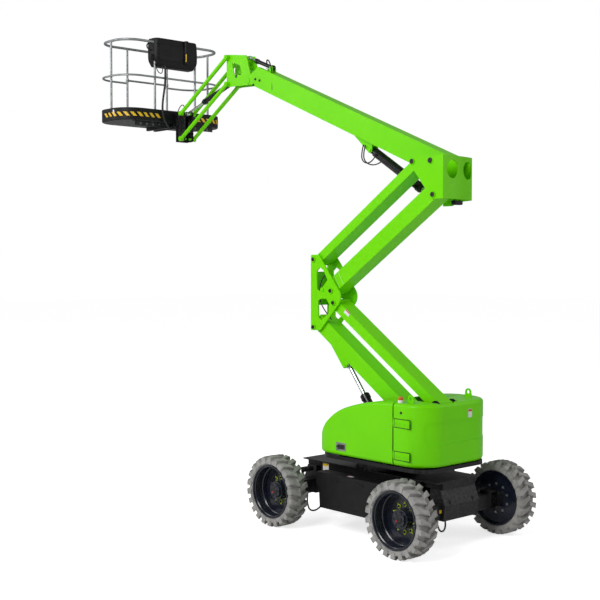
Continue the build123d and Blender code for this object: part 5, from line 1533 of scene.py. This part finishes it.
# ------------------------------------------------------------------ upper controls
@dataclass
class Console(Assembly):
    """The upper control box: its housing, levers, document roll, grab loops and cables."""

    grab: float = 0.075
    front_corner: float = 0.085
    back_corner: float = 0.030
    swell: float = 0.030
    levers: int = 5
    lever_pitch: float = 0.115
    cuts: tuple[float, ...] = (-0.115, -0.075, -0.030, 0.030, 0.100, 0.150)
    seams: tuple[float, ...] = (5.585, 5.800)
    slots: int = 6
    slot_pitch: float = 0.026
    slot_height: float = 5.690
    screws: tuple[tuple[float, float], ...] = ((-0.14, 5.615), (-0.14, 5.770), (0.24, 5.615), (0.24, 5.770))
    screw: Head = (0.006, 0.004)
    roll_radius: float = 0.031
    roll_across: float = -0.215
    upper_loop: tuple[float, float] = (2.372, 5.765)
    lower_loop: tuple[float, float] = (2.330, 5.620)
    hoses: tuple[Hose, ...] = (
        Hose("console_loom", "cage", 0.014, (
            (2.300, 0.104, 5.520), (2.290, 0.106, 5.430), (2.266, 0.130, 5.260), (2.258, 0.168, 5.080),
            (2.254, 0.185, 4.950), (2.250, 0.170, 4.820), (2.245, 0.120, 4.730), (2.262, 0.060, 4.690),
            (2.310, 0.040, 4.720), (2.330, 0.040, 4.764))),
        Hose("console_loop", "cage", 0.006, (
            (2.300, 0.150, 5.530), (2.280, 0.155, 5.450), (2.262, 0.190, 5.400), (2.258, 0.240, 5.410),
            (2.268, 0.265, 5.460), (2.300, 0.265, 5.530))),
        Hose("bracket_hose", "cage", 0.006, (
            (2.235, -0.030, 4.850), (2.205, -0.034, 4.920), (2.180, -0.055, 4.985), (2.172, -0.090, 5.010),
            (2.180, -0.125, 4.985), (2.205, -0.140, 4.920), (2.240, -0.140, 4.860))),
        Hose("bracket_drop_hose", "cage", 0.007, (
            (2.240, -0.190, 4.860), (2.200, -0.240, 4.880), (2.180, -0.270, 4.800), (2.190, -0.270, 4.690),
            (2.220, -0.240, 4.640), (2.240, -0.195, 4.660))))

    def housing(self) -> None:
        """Makes the moulded housing: a rounded box that swells at its middle and narrows at its foot."""
        box, mesh = self.box("control_console"), bmesh.new()
        box.high.y -= self.grab
        middle, size = box.middle, box.size
        bmesh.ops.create_cube(mesh, size=1.0)
        bmesh.ops.scale(mesh, vec=size, verts=mesh.verts)
        for out, width, steps in ((-1.0, self.front_corner, 8), (1.0, self.back_corner, 4)):
            corners = [e for e in mesh.edges if abs(e.verts[0].co.z - e.verts[1].co.z) > 0.1
                       and e.verts[0].co.x * out > 0.099]
            round_edges(mesh, corners, width, steps)
        for height in self.cuts:
            bmesh.ops.bisect_plane(mesh, geom=[*mesh.verts, *mesh.edges, *mesh.faces],
                                   plane_co=(0, 0, height), plane_no=(0, 0, 1))
        for vert in mesh.verts:
            rise = vert.co.z / (size.z / 2)
            shrink = 1.0 - self.swell * rise * rise - (0.10 * (-0.55 - rise) / 0.45 if rise < -0.55 else 0.0)
            vert.co.x = (vert.co.x - size.x / 2) * shrink + size.x / 2
            vert.co.y *= shrink
        rims = [e for e in mesh.edges if len(e.link_faces) == 2
                and any(len(f.verts) > 8 for f in e.link_faces) and e.calc_face_angle(0.0) > 0.9]
        round_edges(mesh, rims, 0.018, 3)
        mesh.transform(Matrix.Translation(middle))
        self.shop.deliver(mesh, "console_housing", "cage", Slot.BLACK_PLASTIC, sharp=40.0,
                          replaces=("control_console",))

    def panel(self) -> None:
        """Makes the levers on the lid, with their rubber boots."""
        box, boots, knobs = self.box("control_console"), bmesh.new(), bmesh.new()
        boot = [(0.026, 0.0), (0.022, 0.010), (0.024, 0.013), (0.017, 0.020), (0.018, 0.023), (0.008, 0.032),
                (0, 0.032)]
        for index in range(self.levers):
            y = box.low.y + 0.16 + index * self.lever_pitch
            place = seat((box.middle.x + 0.020, y, box.high.z - 0.055), (0, 0, 1))
            add_lathe(boots, boot, place, 20)
            stem = (place @ Vector((0, 0, reach)) for reach in (0.028, 0.046))
            add_rod(knobs, *stem, 0.005, 0.009, 12, 0.002)
        self.shop.deliver(boots, "lever_boots", "cage", Slot.BLACK_PLASTIC, HOSE_RUBBER)
        self.shop.deliver(knobs, "lever_knobs", "cage", Slot.BLACK_PLASTIC)

    def shell(self) -> None:
        """Makes the document roll, the grab loops, the seams, the slots, the screws and the yellow strip."""
        box, trim, strip = self.box("control_console"), bmesh.new(), bmesh.new()
        front, grab = box.low.x, box.high.y - self.grab
        roll = (front - 0.008, self.roll_across)
        ends = ((*roll, box.low.z + 0.055), (*roll, box.high.z - 0.002))
        add_rod(trim, *ends, self.roll_radius, None, 28, 0.006)
        for height in (box.low.z + 0.100, box.high.z - 0.075):
            add_torus(trim, self.roll_radius + 0.0005, 0.004, seat((*roll, height), (0, 0, 1)), 8, 28)
        high, low = (seat((x, grab, z), (1, 0, 0), (0, 1, 0)) for x, z in (self.upper_loop, self.lower_loop))
        add_torus(trim, 0.052, 0.008, high @ Matrix.Diagonal((1.25, 0.95, 1.0, 1.0)), 10, 28)
        add_torus(trim, 0.026, 0.012, low, 10, 24)
        for height in self.seams:
            add_block(trim, (0.006, 0.420, 0.007), seat((front + 0.002, 0.060, height), (0, 0, 1), (1, 0, 0)))
        for index in range(self.slots):
            spot = (front + 0.001, 0.020 + index * self.slot_pitch, self.slot_height)
            add_block(trim, (0.006, 0.012, 0.080), seat(spot, (0, 0, 1), (1, 0, 0)))
        for y, z in self.screws:
            add_bolt(trim, seat((front + 0.002, y, z), (-1, 0, 0)), *self.screw)
        place = seat((roll[0] - 0.0245, roll[1] + 0.0195, 5.670), (0.06, -0.06, 1), (-0.8, 0.6, 0))
        add_block(strip, (0.004, 0.012, 0.150), place, 0.001)
        self.shop.deliver(trim, "console_trim", "cage", Slot.BLACK_PLASTIC)
        self.shop.deliver(strip, "console_strip", "cage", Slot.BLACK_PLASTIC, HAZARD_YELLOW)

    def pieces(self) -> None:
        """Makes the console's pieces."""
        self.housing()
        self.panel()
        self.shell()


# ------------------------------------------------------------------ the machine
class Machine:
    """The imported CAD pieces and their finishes."""

    # The platform floor takes the dark tread plate, whose darkness is painted shade.
    SPECIAL = {"cage_floor": SHADE_DARKENED_FLOOR_PLATE}

    def __init__(self, frame: dict, wardrobe: Wardrobe) -> None:
        """Keeps the frame and the finishes.

        Args:
            wardrobe: the finishes.
        """
        self.nodes: dict[str, bpy.types.Object] = frame["nodes"]
        self.slots = {part["node"]: Slot(part["material_slot"]) for part in frame["record"]["subparts"]}
        self.wardrobe = wardrobe

    def dress_nodes(self) -> None:
        """Gives every CAD node the finish of its slot, or its own special one."""
        for name, thing in self.nodes.items():
            dress(thing, self.wardrobe.get(self.SPECIAL.get(name) or FINISHES[self.slots[name]]))
            LOG.info("dressed %s", name)


def main() -> None:
    """Builds the studio and the machine's pieces in order."""
    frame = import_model()
    Studio().build()
    wardrobe = Wardrobe()
    Machine(frame, wardrobe).dress_nodes()
    shop = Workshop(wardrobe)
    joints = {joint["name"]: joint for joint in frame["joints"]}
    for corner in ("front_left", "front_right", "rear_left", "rear_right"):
        Wheel(shop, joints, corner=corner).build()
    for kind in (Chassis, Hood, Riser, Rams, Boom, Cage, Console):
        kind(shop, joints).build()
    bpy.context.view_layer.update()


if __name__ == "__main__":
    main()
